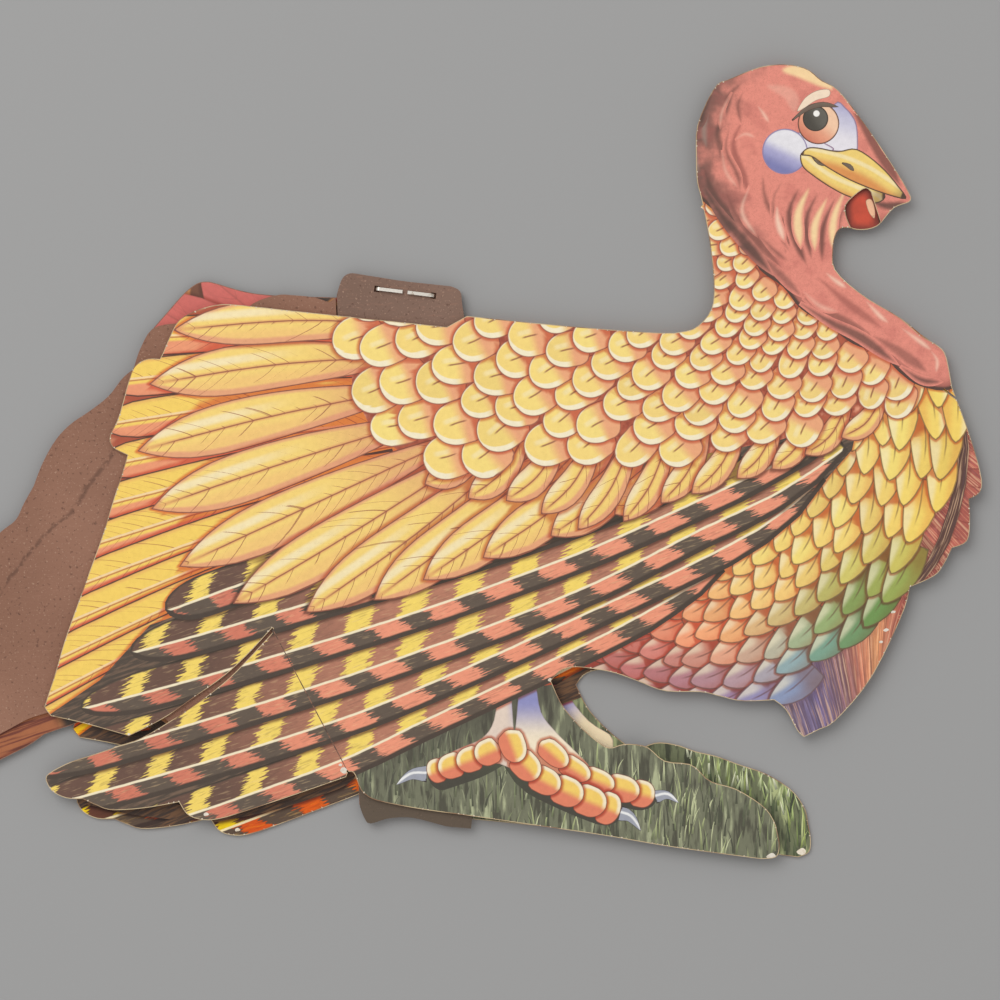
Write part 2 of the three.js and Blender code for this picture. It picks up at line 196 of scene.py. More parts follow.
world = bpy.context.scene.world or bpy.data.worlds.new("room")
bpy.context.scene.world = world
world.use_nodes = True
fill(world.node_tree.nodes["Background"], {"Color": (1.0, 0.99, 0.975, 1.0), "Strength": 0.62})
panel = bpy.data.lights.new("softbox", "AREA")
panel.shape = "DISK"
panel.size = 0.9
panel.energy = 5.6
lamp = in_scene("softbox", panel)
lamp.location = lamp_spot
lamp.rotation_euler = (-lamp_spot).to_track_quat("-Z", "Y").to_euler()


# The boards. Every piece is thin packing board with a grey-brown core. The print is pasted on,
# so the raw back shows flecks of old paper, and a cut edge shows the pale paper over the core.
def new_group(name, inputs, values=(), colours=()):
    """A shader group with its inputs by name and value, its outputs by name, and what it is given."""
    group = bpy.data.node_groups.new(name, "ShaderNodeTree")
    for socket, value in inputs.items():
        kind = "NodeSocketFloat" if isinstance(value, float) else "NodeSocketColor"
        group.interface.new_socket(socket, in_out="INPUT", socket_type=kind).default_value = value
    for kind, sockets in (("NodeSocketFloat", values), ("NodeSocketColor", colours)):
        for socket in sockets:
            group.interface.new_socket(socket, in_out="OUTPUT", socket_type=kind)
    return group, node(group, "NodeGroupInput")


def grouped(tree, group, inputs):
    """The outputs of a group placed in a tree."""
    return node(tree, "ShaderNodeGroup", inputs, node_tree=group)


def scaled(place, *scale, turn=0.0):
    """A place turned about the object's own z axis and scaled."""
    inputs = {"Vector": place, "Rotation": (0, 0, turn), "Scale": scale}
    return node(place.socket.id_data, "ShaderNodeMapping", inputs)[0]


def board_flecks():
    """Raw board: a cloudy brown with light and dark flecks and short fibres."""
    inputs = {"Colour": linear(145, 108, 92), "Fleck": 0.5, "Cloud": 0.5}
    group, given = new_group("board_flecks", inputs, ["Height"], ["Colour"])
    spot = spot_in(group)
    fibres = noise(scaled(spot, 0.35, 1.6, 1.0), 1500.0, 3.0, Distortion=0.6)
    cloud = noise(spot, 22.0, 4.0, Roughness=0.55).above(0.32, 0.68)
    pale = noise(spot, 2100.0, 2.0, Roughness=0.55).above(0.62, 0.7)
    dark = noise(spot, 1300.0, 3.0, Roughness=0.55).above(0.6, 0.7)
    darker = mixed(1.0, given["Colour"], (0.72, 0.7, 0.69, 1.0), "MULTIPLY")
    base = mixed(cloud * given["Cloud"], given["Colour"], darker)
    warm = mixed(pale * given["Fleck"], base, (196, 160, 138))
    flecked = mixed(dark * given["Fleck"], warm, (84, 58, 50))
    final = mixed(fibres.above(0.55, 0.72) * 0.28, flecked, (170, 128, 108))
    node(group, "NodeGroupOutput", {"Colour": final, "Height": fibres + pale * 0.5})
    return group


flecks = board_flecks()


def bump(height, strength, distance):
    """The surface's normal as a height raises it."""
    inputs = {"Height": height, "Strength": strength, "Distance": distance}
    return node(height.socket.id_data, "ShaderNodeBump", inputs)[0]


def on_card(across, down):
    """A point of the card from shares of the blank, across from the left and down from the top."""
    return Vector(((across - 0.5) * blank, (0.5 - down) * blank))


def scratched_line(spot, start, end):
    """A broken, scratchy line from start to end on the board's face."""
    tree = spot.socket.id_data

    def vector_sum(operation, first, second):
        return node(tree, "ShaderNodeVectorMath", {0: first, 1: second}, operation=operation)

    wander = node(tree, "ShaderNodeTexNoise", {"Vector": spot, "Scale": 90.0, "Detail": 3.0})["Color"]
    shift = vector_sum("SUBTRACT", wander, (0.5, 0.5, 0.5))[0]
    grown = node(tree, "ShaderNodeVectorMath", {0: shift, "Scale": 0.0045}, operation="SCALE")[0]
    moved = vector_sum("ADD", spot, grown)[0]
    way = Vector(end) - Vector(start)
    across = Vector((-way.y, way.x)).normalized()
    offset = vector_sum("DOT_PRODUCT", moved, (*across, 0))["Value"] - across.dot(Vector(start))
    return offset.within(0.00012, 0.00085) * noise(spot, 900.0, 2.0).above(0.4, 0.56)


def raw_board(name, colour, cloud, scratch=None, shaded_below=None):
    """Raw board. It may have a scratched crease between two points, and painted grey shade below a height."""
    made, tree, surface = new_material(name)
    outputs = grouped(tree, flecks, {"Colour": linear(*colour), "Fleck": 0.55, "Cloud": cloud})
    shown, height = outputs["Colour"], outputs["Height"]
    spot = spot_in(tree)
    if scratch:
        mask = scratched_line(spot, *scratch)
        shown = mixed(mask * 0.45, shown, (70, 50, 44))
        height = height - mask * 2.0
    if shaded_below is not None:
        # Below the height the board is darkened towards grey: painted shade.
        up = node(tree, "ShaderNodeSeparateXYZ", {0: spot})["Y"]
        shown = mixed(0.72 - up.above(shaded_below - 0.003, shaded_below + 0.003) * 0.72, shown, (84, 80, 68))
    fill(surface, {"Base Color": shown, "Roughness": 0.88, "Specular IOR Level": 0.25,
                   "Normal": bump(height, 0.35, 0.00006)})
    return made


def edge_board():
    """The body cards' rims and cut edges: pale paper over the core, dirtier in places."""
    made, tree, surface = new_material("card_cut_edge")
    wear = noise(spot_in(tree), 130.0, 4.0).above(0.42, 0.66)
    stained = mixed(wear, (214, 190, 150), (150, 112, 84))
    facing = node(tree, "ShaderNodeSeparateXYZ", {0: node(tree, "ShaderNodeTexCoord")["Normal"]})["Z"]
    outputs = grouped(tree, flecks, {"Colour": linear(176, 146, 118), "Fleck": 0.35, "Cloud": 0.4})
    fill(surface, {"Base Color": mixed(facing.within(0.2, 0.6), stained, outputs["Colour"]), "Roughness": 0.8,
                   "Normal": bump(outputs["Height"], 0.3, 0.00005)})
    return made


def steel_wire():
    """The staple's wire: drawn steel with fine lines along it and dull spots."""
    made, tree, surface = new_material("staple_wire")
    spot = spot_in(tree)
    lines = noise(scaled(spot, 0.08, 1.0, 1.0), 9000.0, 2.0)
    spots = noise(spot, 700.0, 3.0).above(0.55, 0.7)
    fill(surface, {"Base Color": mixed(spots, (226, 220, 210), (150, 132, 112)), "Metallic": 1.0,
                   "Roughness": spots * 0.3 + 0.3, "Normal": bump(lines, 0.2, 0.00002)})
    return made


def finish_nodes(material, *names):
    """Gives CAD nodes one material all over."""
    for name in names:
        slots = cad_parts[name].data.materials
        slots.clear()
        slots.append(material)


fan_crease = (on_card(0.118, 0.447), on_card(-0.02, 0.617))
foot_height = on_card(0, 0.772).y
finish_nodes(edge_board(), "near_body_card", "near_head_card", "near_wing_flap", "far_body_card", "far_wing_flap")
finish_nodes(raw_board("fan_raw_board", (160, 118, 98), 0.75, fan_crease), "near_fan_half", "far_fan_half")
# The tab board gets painted grey shade below the height of the feet.
finish_nodes(raw_board("tab_raw_board", (140, 112, 98), 0.6, shaded_below=foot_height), "near_fan_flange", "head_glue_pad")
finish_nodes(steel_wire(), "fan_staple")


# The print on the body cards, drawn in flat shapes one over the other, as a litho print's are.
# A vane is one printed feather, toe, blade or patch. Its two sides lie along a spine,
# and the ink reads how far along, how far across and how far from the edge each point is.
prints = []
dice = random.Random(11)
mid_grey = (128, 128, 128)


def spline(given, steps):
    """A smooth curve from the second given point to the last but one, with some steps for each stretch."""
    drawn = []
    for a, b, c, d in zip(given, given[1:], given[2:], given[3:]):
        for k in range(steps):
            t = k / steps
            square, cube = 2 * a - 5 * b + 4 * c - d, 3 * b - a - 3 * c + d
            drawn.append(0.5 * (2 * b + (c - a) * t + square * t**2 + cube * t**3))
    return drawn


def smooth(points, steps=8):
    """A smooth curve through all the points."""
    given = [np.array(p, float) for p in points]
    ends = [2 * given[0] - given[1], *given, 2 * given[-1] - given[-2]]
    return np.array([*spline(ends, steps), given[-1]])


def leaf_widths(u):
    """A long feather: narrow at the root, widest past the middle, with a soft point."""
    return (0.34 + 0.66 * np.sin(np.pi * 0.5 * np.clip(u / 0.66, 0, 1))) * (1 - np.clip((u - 0.6) / 0.4, 0, 1) ** 2.7)


def measured(line):
    """How far along a line each of its points lies."""
    return np.concatenate([[0], np.cumsum(np.linalg.norm(np.diff(line, axis=0), axis=1))])


def at_lengths(line, lengths, wanted):
    """The points of a line at the wanted lengths."""
    return np.stack([np.interp(wanted, lengths, line[:, k]) for k in (0, 1)], -1)


def add_print(ink, outline, spine, inner, tint, tone):
    """Adds one shape to the print. The inner lines give its ink more points to read."""
    prints.append({"ink": ink, "outline": outline, "spine": spine, "inner": inner, "tint": tint, "tone": tone,
                   "seed": dice.random()})


def vane(ink, spine, half, widths=leaf_widths, tint=mid_grey, steps=12, tone=0.0, lines=(0.0, 0.8)):
    """Adds one shape along a spine of shares, with its half width as a share of the blank."""
    line = np.array([on_card(*p) for p in spine])
    if len(line) > 2:
        line = smooth(line)
    lengths = measured(line)
    shares = 1 - (1 - np.linspace(0, 1, steps)) ** 1.5
    spots = at_lengths(line, lengths, shares * lengths[-1])
    ways = np.gradient(spots, axis=0)
    ways /= np.linalg.norm(ways, axis=1)[:, None]
    sideways = np.stack([-ways[:, 1], ways[:, 0]], 1) * (widths(shares) * half * blank)[:, None]
    outline = np.concatenate([(spots + sideways)[:-1], spots[-1:], (spots - sideways)[:-1][::-1]])
    sides = [share * side for share in lines for side in ((1, -1) if share else (1,))]
    add_print(ink, outline, spots, [(spots + sideways * side)[:-1] for side in sides], tint, tone)


def patch(ink, points, spine, tint=mid_grey, tone=0.0, steps=4, rings=(0.9, 0.55)):
    """Adds one smooth closed shape of shares, with a line of shares that its ink runs along."""
    given = [np.array(on_card(*p)) for p in points]
    outline = np.array(spline([given[-1], *given, *given[:2]], steps))
    middle = outline.mean(0)
    inner = [np.concatenate([r, r[:1]]) for r in (middle + (outline - middle) * ring for ring in rings)]
    add_print(ink, outline, smooth([on_card(*p) for p in spine]), inner, tint, tone)


def along(points, share):
    """The point at a share of the length of a smooth curve of shares."""
    line = smooth(points)
    lengths = measured(line)
    return at_lengths(line, lengths, share * lengths[-1])


# Inks share three groups: what a point of a vane knows, the fine barbs drawn with a pen,
# and the worn, satin paper that every ink lies on. Each ink is then one material of its own.
def vane_reader():
    """What a point of a vane knows of its place.

    Along, across and edge are in millimetres, and so is cover, the way to the next vane above.
    Across is positive on the vane's upper side.
    """
    names = ["Along", "Across", "Edge", "Share", "Tone", "Seed", "Cover"]
    group, given = new_group("vane_reader", {"Wobble": 0.12}, names, ["Tint"])
    wobble = (noise(spot_in(group), 420.0, 2.0) - 0.5) * given["Wobble"]
    run = node(group, "ShaderNodeSeparateXYZ", {0: node(group, "ShaderNodeUVMap", uv_map="lie")[0]})
    facts = node(group, "ShaderNodeAttribute", attribute_name="facts")
    part = node(group, "ShaderNodeSeparateColor", {0: facts["Color"]})
    tint = node(group, "ShaderNodeAttribute", attribute_name="tint")
    node(group, "NodeGroupOutput", {
        "Along": run["X"] + wobble * 4.0, "Across": run["Y"] + wobble, "Edge": part["Red"] + wobble,
        "Share": part["Green"], "Tone": part["Blue"], "Seed": facts["Alpha"],
        "Cover": tint["Alpha"] + wobble, "Tint": tint["Color"],
    })
    return group


def pen_barbs():
    """Fine slanting pen lines that run out from the quill and break off at random."""
    inputs = {"Along": 0.0, "Across": 0.0, "Seed": 0.0, "Spacing": 1.0, "Slant": 1.0, "Width": 0.1}
    group, given = new_group("pen_barbs", inputs, ["Mask"])
    out = abs(given["Across"])
    slid = given["Along"] - out * (given["Slant"] + out * 0.16)
    place = node(group, "ShaderNodeCombineXYZ", {"X": slid * 0.35, "Y": given["Seed"]})[0]
    turns = slid / given["Spacing"] + noise(place, 1.3, 2.0) * 0.9
    wave = abs(turns.worked("FRACT") - 0.5)
    lines = (wave - given["Width"] / given["Spacing"]).below(0.0, 0.03)
    # Each line breaks off at a length of its own, on either side of the quill.
    side = given["Across"].above(-0.01, 0.01) * 7.0
    line_name = {"X": turns.worked("FLOOR"), "Y": side, "Z": given["Seed"] * 30.0}
    place = node(group, "ShaderNodeCombineXYZ", line_name)[0]
    chance = node(group, "ShaderNodeTexWhiteNoise", {"Vector": place})["Value"]
    shown = ((chance - 0.22) * 7.0 - out).above(0.0, 0.5)
    node(group, "NodeGroupOutput", {"Mask": lines * shown})
    return group


def worn_paper():
    """A printed colour as the old satin paper shows it: a little faded, grainy and scuffed."""
    inputs = {"Colour": (0.8, 0.8, 0.8, 1.0), "Fade": 0.04}
    group, given = new_group("worn_paper", inputs, ["Height", "Rough"], ["Colour"])
    spot = spot_in(group)
    grain = noise(spot, 5200.0, 2.0)
    fresh = node(group, "ShaderNodeAttribute", attribute_name="fresh")["Fac"]
    faded = mixed(given["Fade"], given["Colour"], (236, 214, 178))
    rich = {"Saturation": 1.3, "Value": 1.1, "Color": given["Colour"]}
    kept = mixed(fresh, faded, node(group, "ShaderNodeHueSaturation", rich)["Color"])
    grained = (grain - 0.5) * 0.16 + (noise(spot, 900.0, 3.0) * 0.22 + 0.91)
    shaded = node(group, "ShaderNodeVectorMath", {0: kept, "Scale": grained}, operation="SCALE")[0]
    rough = noise(spot, 60.0, 6.0) * 0.3 + 0.38
    node(group, "NodeGroupOutput", {"Colour": shaded, "Height": grain, "Rough": rough})
    return group


read_vane = vane_reader()
barbs = pen_barbs()
paper = worn_paper()


def ink(name, draw, wobble=0.12, fade=0.04, shade=(206, 124, 100), reach=1.5, depth=0.9):
    """One printed material: draw gives the colour from what the vane's points know.

    The vane darkens towards the shade colour where another one lies over it.
    """
    made, tree, surface = new_material(name)
    known = grouped(tree, read_vane, {"Wobble": wobble})
    drawn = draw(tree, known)
    if depth:
        dusk = mixed(1.0, drawn, shade, "MULTIPLY")
        drawn = mixed(known["Cover"].below(0.1, reach) * depth, drawn, dusk)
    outputs = grouped(tree, paper, {"Colour": drawn, "Fade": fade})
    fill(surface, {"Base Color": outputs["Colour"], "Roughness": outputs["Rough"], "Specular IOR Level": 0.35,
                   "Normal": bump(outputs["Height"], 0.12, 0.00003)})
    return made


# The grass: the green base that the legs stand on, with some hundreds of drawn blades.
# It is printed under the legs, and the wing throws a drawn shade on it.
def blade_widths(u):
    """A blade of grass or a claw, drawn to a fine point."""
    return (1 - u) ** 0.8


def blended(first, second, share):
    """A colour between two others."""
    return tuple(a + (b - a) * share for a, b in zip(first, second))


def grass_ink(tree, known):
    spot = spot_in(tree)
    tall = noise(scaled(spot, 1.0, 0.16, 1.0, turn=0.12), 780.0, 4.0)
    green = mixed(tall.above(0.36, 0.5), (66, 68, 56), (112, 116, 94))
    blades = mixed(tall.above(0.54, 0.7), green, (178, 184, 146))
    part = node(tree, "ShaderNodeSeparateXYZ", {0: spot})
    under_wing = (part["Y"] - part["X"] * 0.35).above(-0.057, -0.04)
    return mixed(under_wing * 0.78, blades, (58, 56, 50))


def blade_ink(tree, known):
    return mixed(known["Share"].below(0.0, 0.6) * 0.7, known["Tint"], (66, 74, 56))


inks = {"grass": ink("grass_print", grass_ink, depth=0), "blade": ink("grass_blades_print", blade_ink, depth=0)}
grass_round = [
    (0.33, 0.765), (0.42, 0.735), (0.5, 0.69), (0.6, 0.68), (0.7, 0.72), (0.83, 0.76), (0.84, 0.88), (0.33, 0.88),
]
patch("grass", grass_round, [(0.35, 0.86), (0.8, 0.86)], steps=1, rings=())
blade_tints = [(176, 186, 132), (140, 152, 108), (62, 66, 56), (204, 210, 164), (92, 100, 78)]
blade_count = 400
grass_left, grass_right = 0.36, 0.8
grass_level, grass_slope = 0.79, 0.17
for _ in range(blade_count):
    across = dice.uniform(grass_left, grass_right)
    down = grass_level + (across - grass_left) * grass_slope + dice.uniform(-0.065, 0.022)
    tall = dice.uniform(0.014, 0.036)
    lean = dice.uniform(-0.006, 0.008)
    spine = [(across, down), (across + lean * 0.3, down - tall * 0.55), (across + lean, down - tall)]
    thickness = dice.uniform(0.0007, 0.0014)
    # Towards the wing the blades lie in its drawn shade.
    shaded = min(1.0, max(0.0, (0.54 - across) / 0.1)) * 0.62
    tint = blended(dice.choice(blade_tints), (72, 74, 66), shaded)
    vane("blade", spine, thickness, blade_widths, tint, steps=5, lines=())


# The legs: lilac shanks, and toes of overlapping scales with dark claws, printed on the grass.
# Each toe is a row of short scales over a strip of drawn shade.
def strip_widths(u):
    """A feather with even sides and a short rounded end."""
    return (0.8 + 0.2 * np.minimum(u / 0.4, 1)) * (1 - np.clip((u - 0.84) / 0.16, 0, 1) ** 2.2) ** 0.6


def scallop_widths(u):
    """A short covert or scale with a round end."""
    root = np.sqrt(1 - (1 - np.minimum(u / 0.3, 1)) ** 2) * 0.8 + 0.2
    return root * np.sqrt(1 - np.clip((u - 0.52) / 0.48, 0, 1) ** 2)


def toe_ink(tree, known):
    light = known["Across"].above(-1.0, 0.7)
    body = mixed(light, (234, 130, 98), (253, 212, 104))
    toned = mixed(known["Edge"].below(0.5, 1.15) * light, body, (254, 240, 208))
    return mixed(known["Edge"].below(0.04, 0.24), toned, (120, 58, 44))


def shank_ink(tree, known):
    body = mixed(known["Share"].below(0.12, 0.6), (250, 234, 206), (142, 144, 198))
    lit = mixed(known["Across"].above(-2.4, 0.4), (234, 214, 198), body)
    return mixed(known["Edge"].below(0.03, 0.22) * 0.5, lit, (120, 98, 104))


def claw_ink(tree, known):
    body = mixed((known["Across"] - 0.25).within(0.1, 0.4), (160, 164, 178), (244, 244, 244))
    return mixed(known["Edge"].below(0.02, 0.14), body, (40, 36, 40))


inks["toe"] = ink("toe_print", toe_ink, shade=(190, 96, 70), reach=0.9)
inks["shank"] = ink("shank_print", shank_ink, reach=0.8)
inks["claw"] = ink("claw_print", claw_ink, depth=0)
far_shank = [(0.533, 0.68), (0.537, 0.7), (0.557, 0.727), (0.586, 0.745)]
toe_ways = [
    ([(0.5, 0.747), (0.483, 0.755), (0.457, 0.764), (0.427, 0.774)], 4, 0.0136, -0.12, (0.396, 0.785)),
    ([(0.54, 0.742), (0.551, 0.753), (0.574, 0.77), (0.604, 0.784), (0.655, 0.797)], 5, 0.0112, 0.3, (0.679, 0.803)),
    ([(0.507, 0.73), (0.516, 0.757), (0.531, 0.774), (0.554, 0.786), (0.581, 0.798), (0.62, 0.813)], 6, 0.0128, 0.3,
     (0.641, 0.831)),
]
close_lines = (0.0, 0.5, 0.85)
for route, count, half, growth, claw in toe_ways:
    below_toe = [(across + 0.001, down + 0.0045) for across, down in route]
    vane("blade", below_toe, half * 1.18, strip_widths, (54, 54, 48), steps=16, lines=(0.0,))
patch("shank", [
    (0.5, 0.68), (0.51, 0.68), (0.512, 0.705), (0.5145, 0.732), (0.518, 0.7), (0.519, 0.68), (0.534, 0.68),
    (0.541, 0.712), (0.556, 0.732),
    (0.574, 0.75), (0.59, 0.768), (0.58, 0.78), (0.55, 0.772), (0.53, 0.78), (0.5, 0.764), (0.46, 0.764),
    (0.438, 0.768), (0.436, 0.76), (0.46, 0.748), (0.482, 0.738), (0.494, 0.72),
], [(0.516, 0.69), (0.516, 0.775)], rings=(0.8, 0.5))
for route, count, half, growth, claw in toe_ways:
    end = along(route, 1.0)
    vane("claw", [end, (end + np.array(claw)) / 2 + (0, -0.005), claw], half * 0.62, blade_widths)
    for k in reversed(range(count)):
        tip_side = half * (1.0 + growth * k / count) * dice.uniform(0.94, 1.06)
        scale = [along(route, k / count), along(route, min(1, (k + 1.4) / count))]
        vane("toe", scale, tip_side, scallop_widths, lines=close_lines)


# The beard and the frill: coarse dark bristles that hang from the breast, printed in streaks.
# The frill is a row of red scallops behind the breast, and the beard's bristles turn from red to lilac.
def jittered(colour, amount):
    """A colour a little lighter or darker."""
    change = 1 + dice.uniform(-amount, amount)
    return tuple(min(255, c * change) for c in colour)


def on_ramp(ramp, turn):
    """The colour at a turn of a ramp of turns and colours."""
    turns = [t for t, _ in ramp]
    return tuple(np.interp(turn, turns, [c[k] for _, c in ramp]) for k in range(3))


def rows_between(roots, tips, count):
    """A row of feathers from one curve to another: for each, the share of the row, its root and its tip."""
    shares = [k / (count - 1) for k in range(count)]
    return [(share, along(roots, share), along(tips, share)) for share in shares]


def streaks_along(tree, known, stretch, spread, scale, detail):
    """Noise drawn out along a vane, other for each seed."""
    inputs = {"X": known["Along"] * stretch, "Y": known["Across"], "Z": known["Seed"] * spread}
    return noise(node(tree, "ShaderNodeCombineXYZ", inputs)[0], scale, detail)


def streak_ink(tree, known):
    fine = streaks_along(tree, known, 0.045, 20.0, 2.6, 4.0)
    light = mixed(fine.above(0.5, 0.66), known["Tint"], mixed(0.5, known["Tint"], (250, 206, 166)))
    return mixed(fine.above(0.34, 0.5), mixed(0.42, known["Tint"], (84, 60, 76)), light)


inks["streak"] = ink("bristle_print", streak_ink, shade=(176, 120, 116), reach=0.5, depth=0.45)
frill_outer = [(0.95, 0.385), (0.972, 0.43), (0.988, 0.478), (0.974, 0.535), (0.945, 0.58), (0.91, 0.61)]
frill_inner = [(0.935, 0.375), (0.95, 0.42), (0.95, 0.47), (0.935, 0.52), (0.91, 0.56), (0.88, 0.595)]
frill_count = 15
for k in range(frill_count):
    share = 1 - k / (frill_count - 1)
    start = along(frill_inner, share) - (0.012, 0)
    stop = along(frill_outer, min(1, share + 0.12))
    tint = blended((205, 104, 88), (158, 74, 66), dice.random())
    vane("streak", [start, stop], 0.018, scallop_widths, tint, steps=8)
beard_top = [(0.905, 0.585), (0.872, 0.605), (0.83, 0.64), (0.775, 0.685)]
beard_tip = [(0.885, 0.65), (0.862, 0.692), (0.835, 0.722), (0.798, 0.742)]
beard_ramp = [(0, (196, 104, 88)), (22, (236, 166, 112)), (40, (214, 132, 108)), (58, (150, 112, 128)),
              (78, (118, 106, 156)), (100, (128, 112, 142))]
for share, start, stop in rows_between(beard_top, beard_tip, count=44):
    tint = jittered(on_ramp(beard_ramp, share * 100), 0.12)
    past = stop + (stop - start) * dice.uniform(0.0, 0.2)
    vane("streak", [start, past], dice.uniform(0.003, 0.0055), strip_widths, tint, steps=6, lines=(0.0,))


# The breast: soft-pointed feathers in rings about the wing, drawn down and back over each other.
# They are yellow at the front and turn green, blue and purple below, and salmon by the wing.
def pointed_widths(u):
    """A breast feather: full sides that come to a soft point."""
    return np.sin(np.pi * np.clip(0.3 + 0.7 * u, 0, 1)) ** 0.62


def breast_ink(tree, known):
    share, across = known["Share"], known["Across"]
    dusky = mixed(1.0, known["Tint"], (234, 168, 140), "MULTIPLY")
    body = mixed(share.below(0.2, 0.55) * 0.7, known["Tint"], dusky)
    sided = mixed(across.below(-2.4, -0.4) * 0.4, body, dusky)
    lit = mixed(across.above(0.4, 1.7) * share.above(0.25, 0.6) * 0.5, sided, (254, 244, 210))
    line_colour = mixed(0.82, known["Tint"], (100, 52, 42))
    quilled = mixed(across.within(0.08, 0.26) * share.below(0.5, 0.76) * 0.75, lit, line_colour)
    return mixed(known["Edge"].below(0.14, 0.38), quilled, line_colour)


inks["breast"] = ink("breast_print", breast_ink, shade=(214, 138, 112), reach=0.65)
breast_outer = [(-25, (252, 218, 104)), (2, (250, 214, 102)), (10, (192, 196, 92)), (18, (108, 150, 76)),
                (27, (122, 166, 124)), (35, (132, 174, 186)), (44, (152, 156, 204)), (56, (166, 124, 160)),
                (72, (190, 106, 108)), (100, (180, 106, 102))]
breast_inner = [(-25, (254, 220, 124)), (14, (254, 220, 120)), (32, (254, 202, 126)), (46, (253, 172, 120)),
                (66, (228, 132, 112)), (100, (182, 102, 96))]
# A dark line sets the breast off from the frill behind it.
vane("streak", [(0.944, 0.376), (0.962, 0.42), (0.962, 0.475), (0.942, 0.545), (0.905, 0.6)], 0.0062, leaf_widths,
     (84, 48, 44), steps=10, lines=(0.0,))
breast_middle = (0.59, 0.47)
belly_turns = [-26, -14, -8, 0, 8, 16, 24, 32, 45, 52, 60, 75, 90, 104]
belly_reaches = [0.4, 0.372, 0.358, 0.352, 0.34, 0.324, 0.312, 0.302, 0.298, 0.28, 0.258, 0.228, 0.207, 0.197]
first_turn, last_turn, turn_step, feather_turn = 104.0, -26.0, 5.7, 6.4
first_reach, reach_step, most_in_row, belly_slack = 0.1, 0.0262, 14, 0.004
front_edge, front_fade = 0.012, 0.066
row = 0
turn = first_turn
while turn > last_turn:
    belly = np.interp(turn, belly_turns, belly_reaches)
    for k in range(most_in_row):
        reach = first_reach + reach_step * (k + 0.5 * (row % 2)) + dice.uniform(-0.003, 0.003)
        if reach > belly + belly_slack:
            break
        swing = math.radians(turn + dice.uniform(-0.6, 0.6))
        out = np.array((math.cos(swing), math.sin(swing)))
        down = np.array((-math.sin(swing), math.cos(swing)))
        root = np.array(breast_middle) + out * reach
        size = reach * math.radians(feather_turn)
        tip = root + (down * 1.75 - out * dice.uniform(0.2, 0.5)) * size
        share = min(1, max(0, 1 - (belly - reach - front_edge) / front_fade))
        tint = blended(on_ramp(breast_inner, turn), on_ramp(breast_outer, turn), share)
        middle = (root + tip) / 2 + out * 0.1 * size
        half = (0.0128 + 0.018 * max(0, reach - 0.16)) * dice.uniform(0.98, 1.14)
        vane("breast", [root, middle, tip], half, pointed_widths, jittered(tint, 0.05), steps=9)
    turn -= turn_step
    row += 1


# The tail coverts behind the wing: long feathers, yellow above and salmon below their pale quills,
# with thick dark lines between them.
def pen_lines(tree, known, spacing, slant, width):
    """Where the pen has drawn barbs on a vane."""
    facts = {name: known[name] for name in ("Along", "Across", "Seed")}
    return grouped(tree, barbs, {**facts, "Spacing": spacing, "Slant": slant, "Width": width})["Mask"]


def tail_ink(tree, known):
    across, edge = known["Across"], known["Edge"]
    body = mixed(across.above(-1.5, -0.9), (242, 154, 112), (253, 214, 98))
    warm = mixed(edge.below(0.3, 1.3) * 0.4, body, (220, 128, 96))
    penned = mixed(pen_lines(tree, known, 2.4, 1.3, 0.08) * 0.7, warm, (160, 74, 56))
    quilled = mixed(across.within(0.1, 0.32), penned, (252, 218, 166))
    shadowed = mixed((across + 0.42).within(0.06, 0.24) * 0.8, quilled, (184, 92, 70))
    return mixed(edge.below(0.18, 0.42), shadowed, (78, 42, 34))


inks["tail"] = ink("tail_print", tail_ink, shade=(224, 128, 102), reach=0.9)
tail_roots = [(0.44, 0.335), (0.43, 0.39), (0.42, 0.43), (0.37, 0.5), (0.33, 0.585), (0.32, 0.64)]
tail_tips = [(0.09, 0.34), (0.1, 0.4), (0.09, 0.48), (0.06, 0.59), (0.02, 0.695), (0.0, 0.77), (0.06, 0.8)]
for share, start, stop in rows_between(tail_roots, tail_tips, count=13):
    middle = (start + stop) / 2 + (0, -0.006)
    vane("tail", [start, middle, stop], 0.0195, strip_widths, steps=14, lines=close_lines)


# The barred wing quills: long feathers with a pale quill. Blocks of yellow and brown lie
# above the quill, and blocks of salmon and charcoal below it, with a dark gap under each feather.
def quill_widths(u):
    """A long wing quill: drawn in at the root, even, and rounded at the tip."""
    root = 0.3 + 0.7 * np.sqrt(np.clip(u / 0.14, 0, 1))
    return root * np.sqrt(1 - np.clip((u - 0.9) / 0.1, 0, 1) ** 2)


def strokes(tree, turn, scale, detail=2.0):
    """Noise drawn out into pen strokes that lie at a turn."""
    long = {0: scaled(spot_in(tree), 1.0, 1.0, 1.0, turn=-turn), 1: (0.12, 1.0, 1.0)}
    return noise(node(tree, "ShaderNodeVectorMath", long, operation="MULTIPLY")[0], scale, detail)


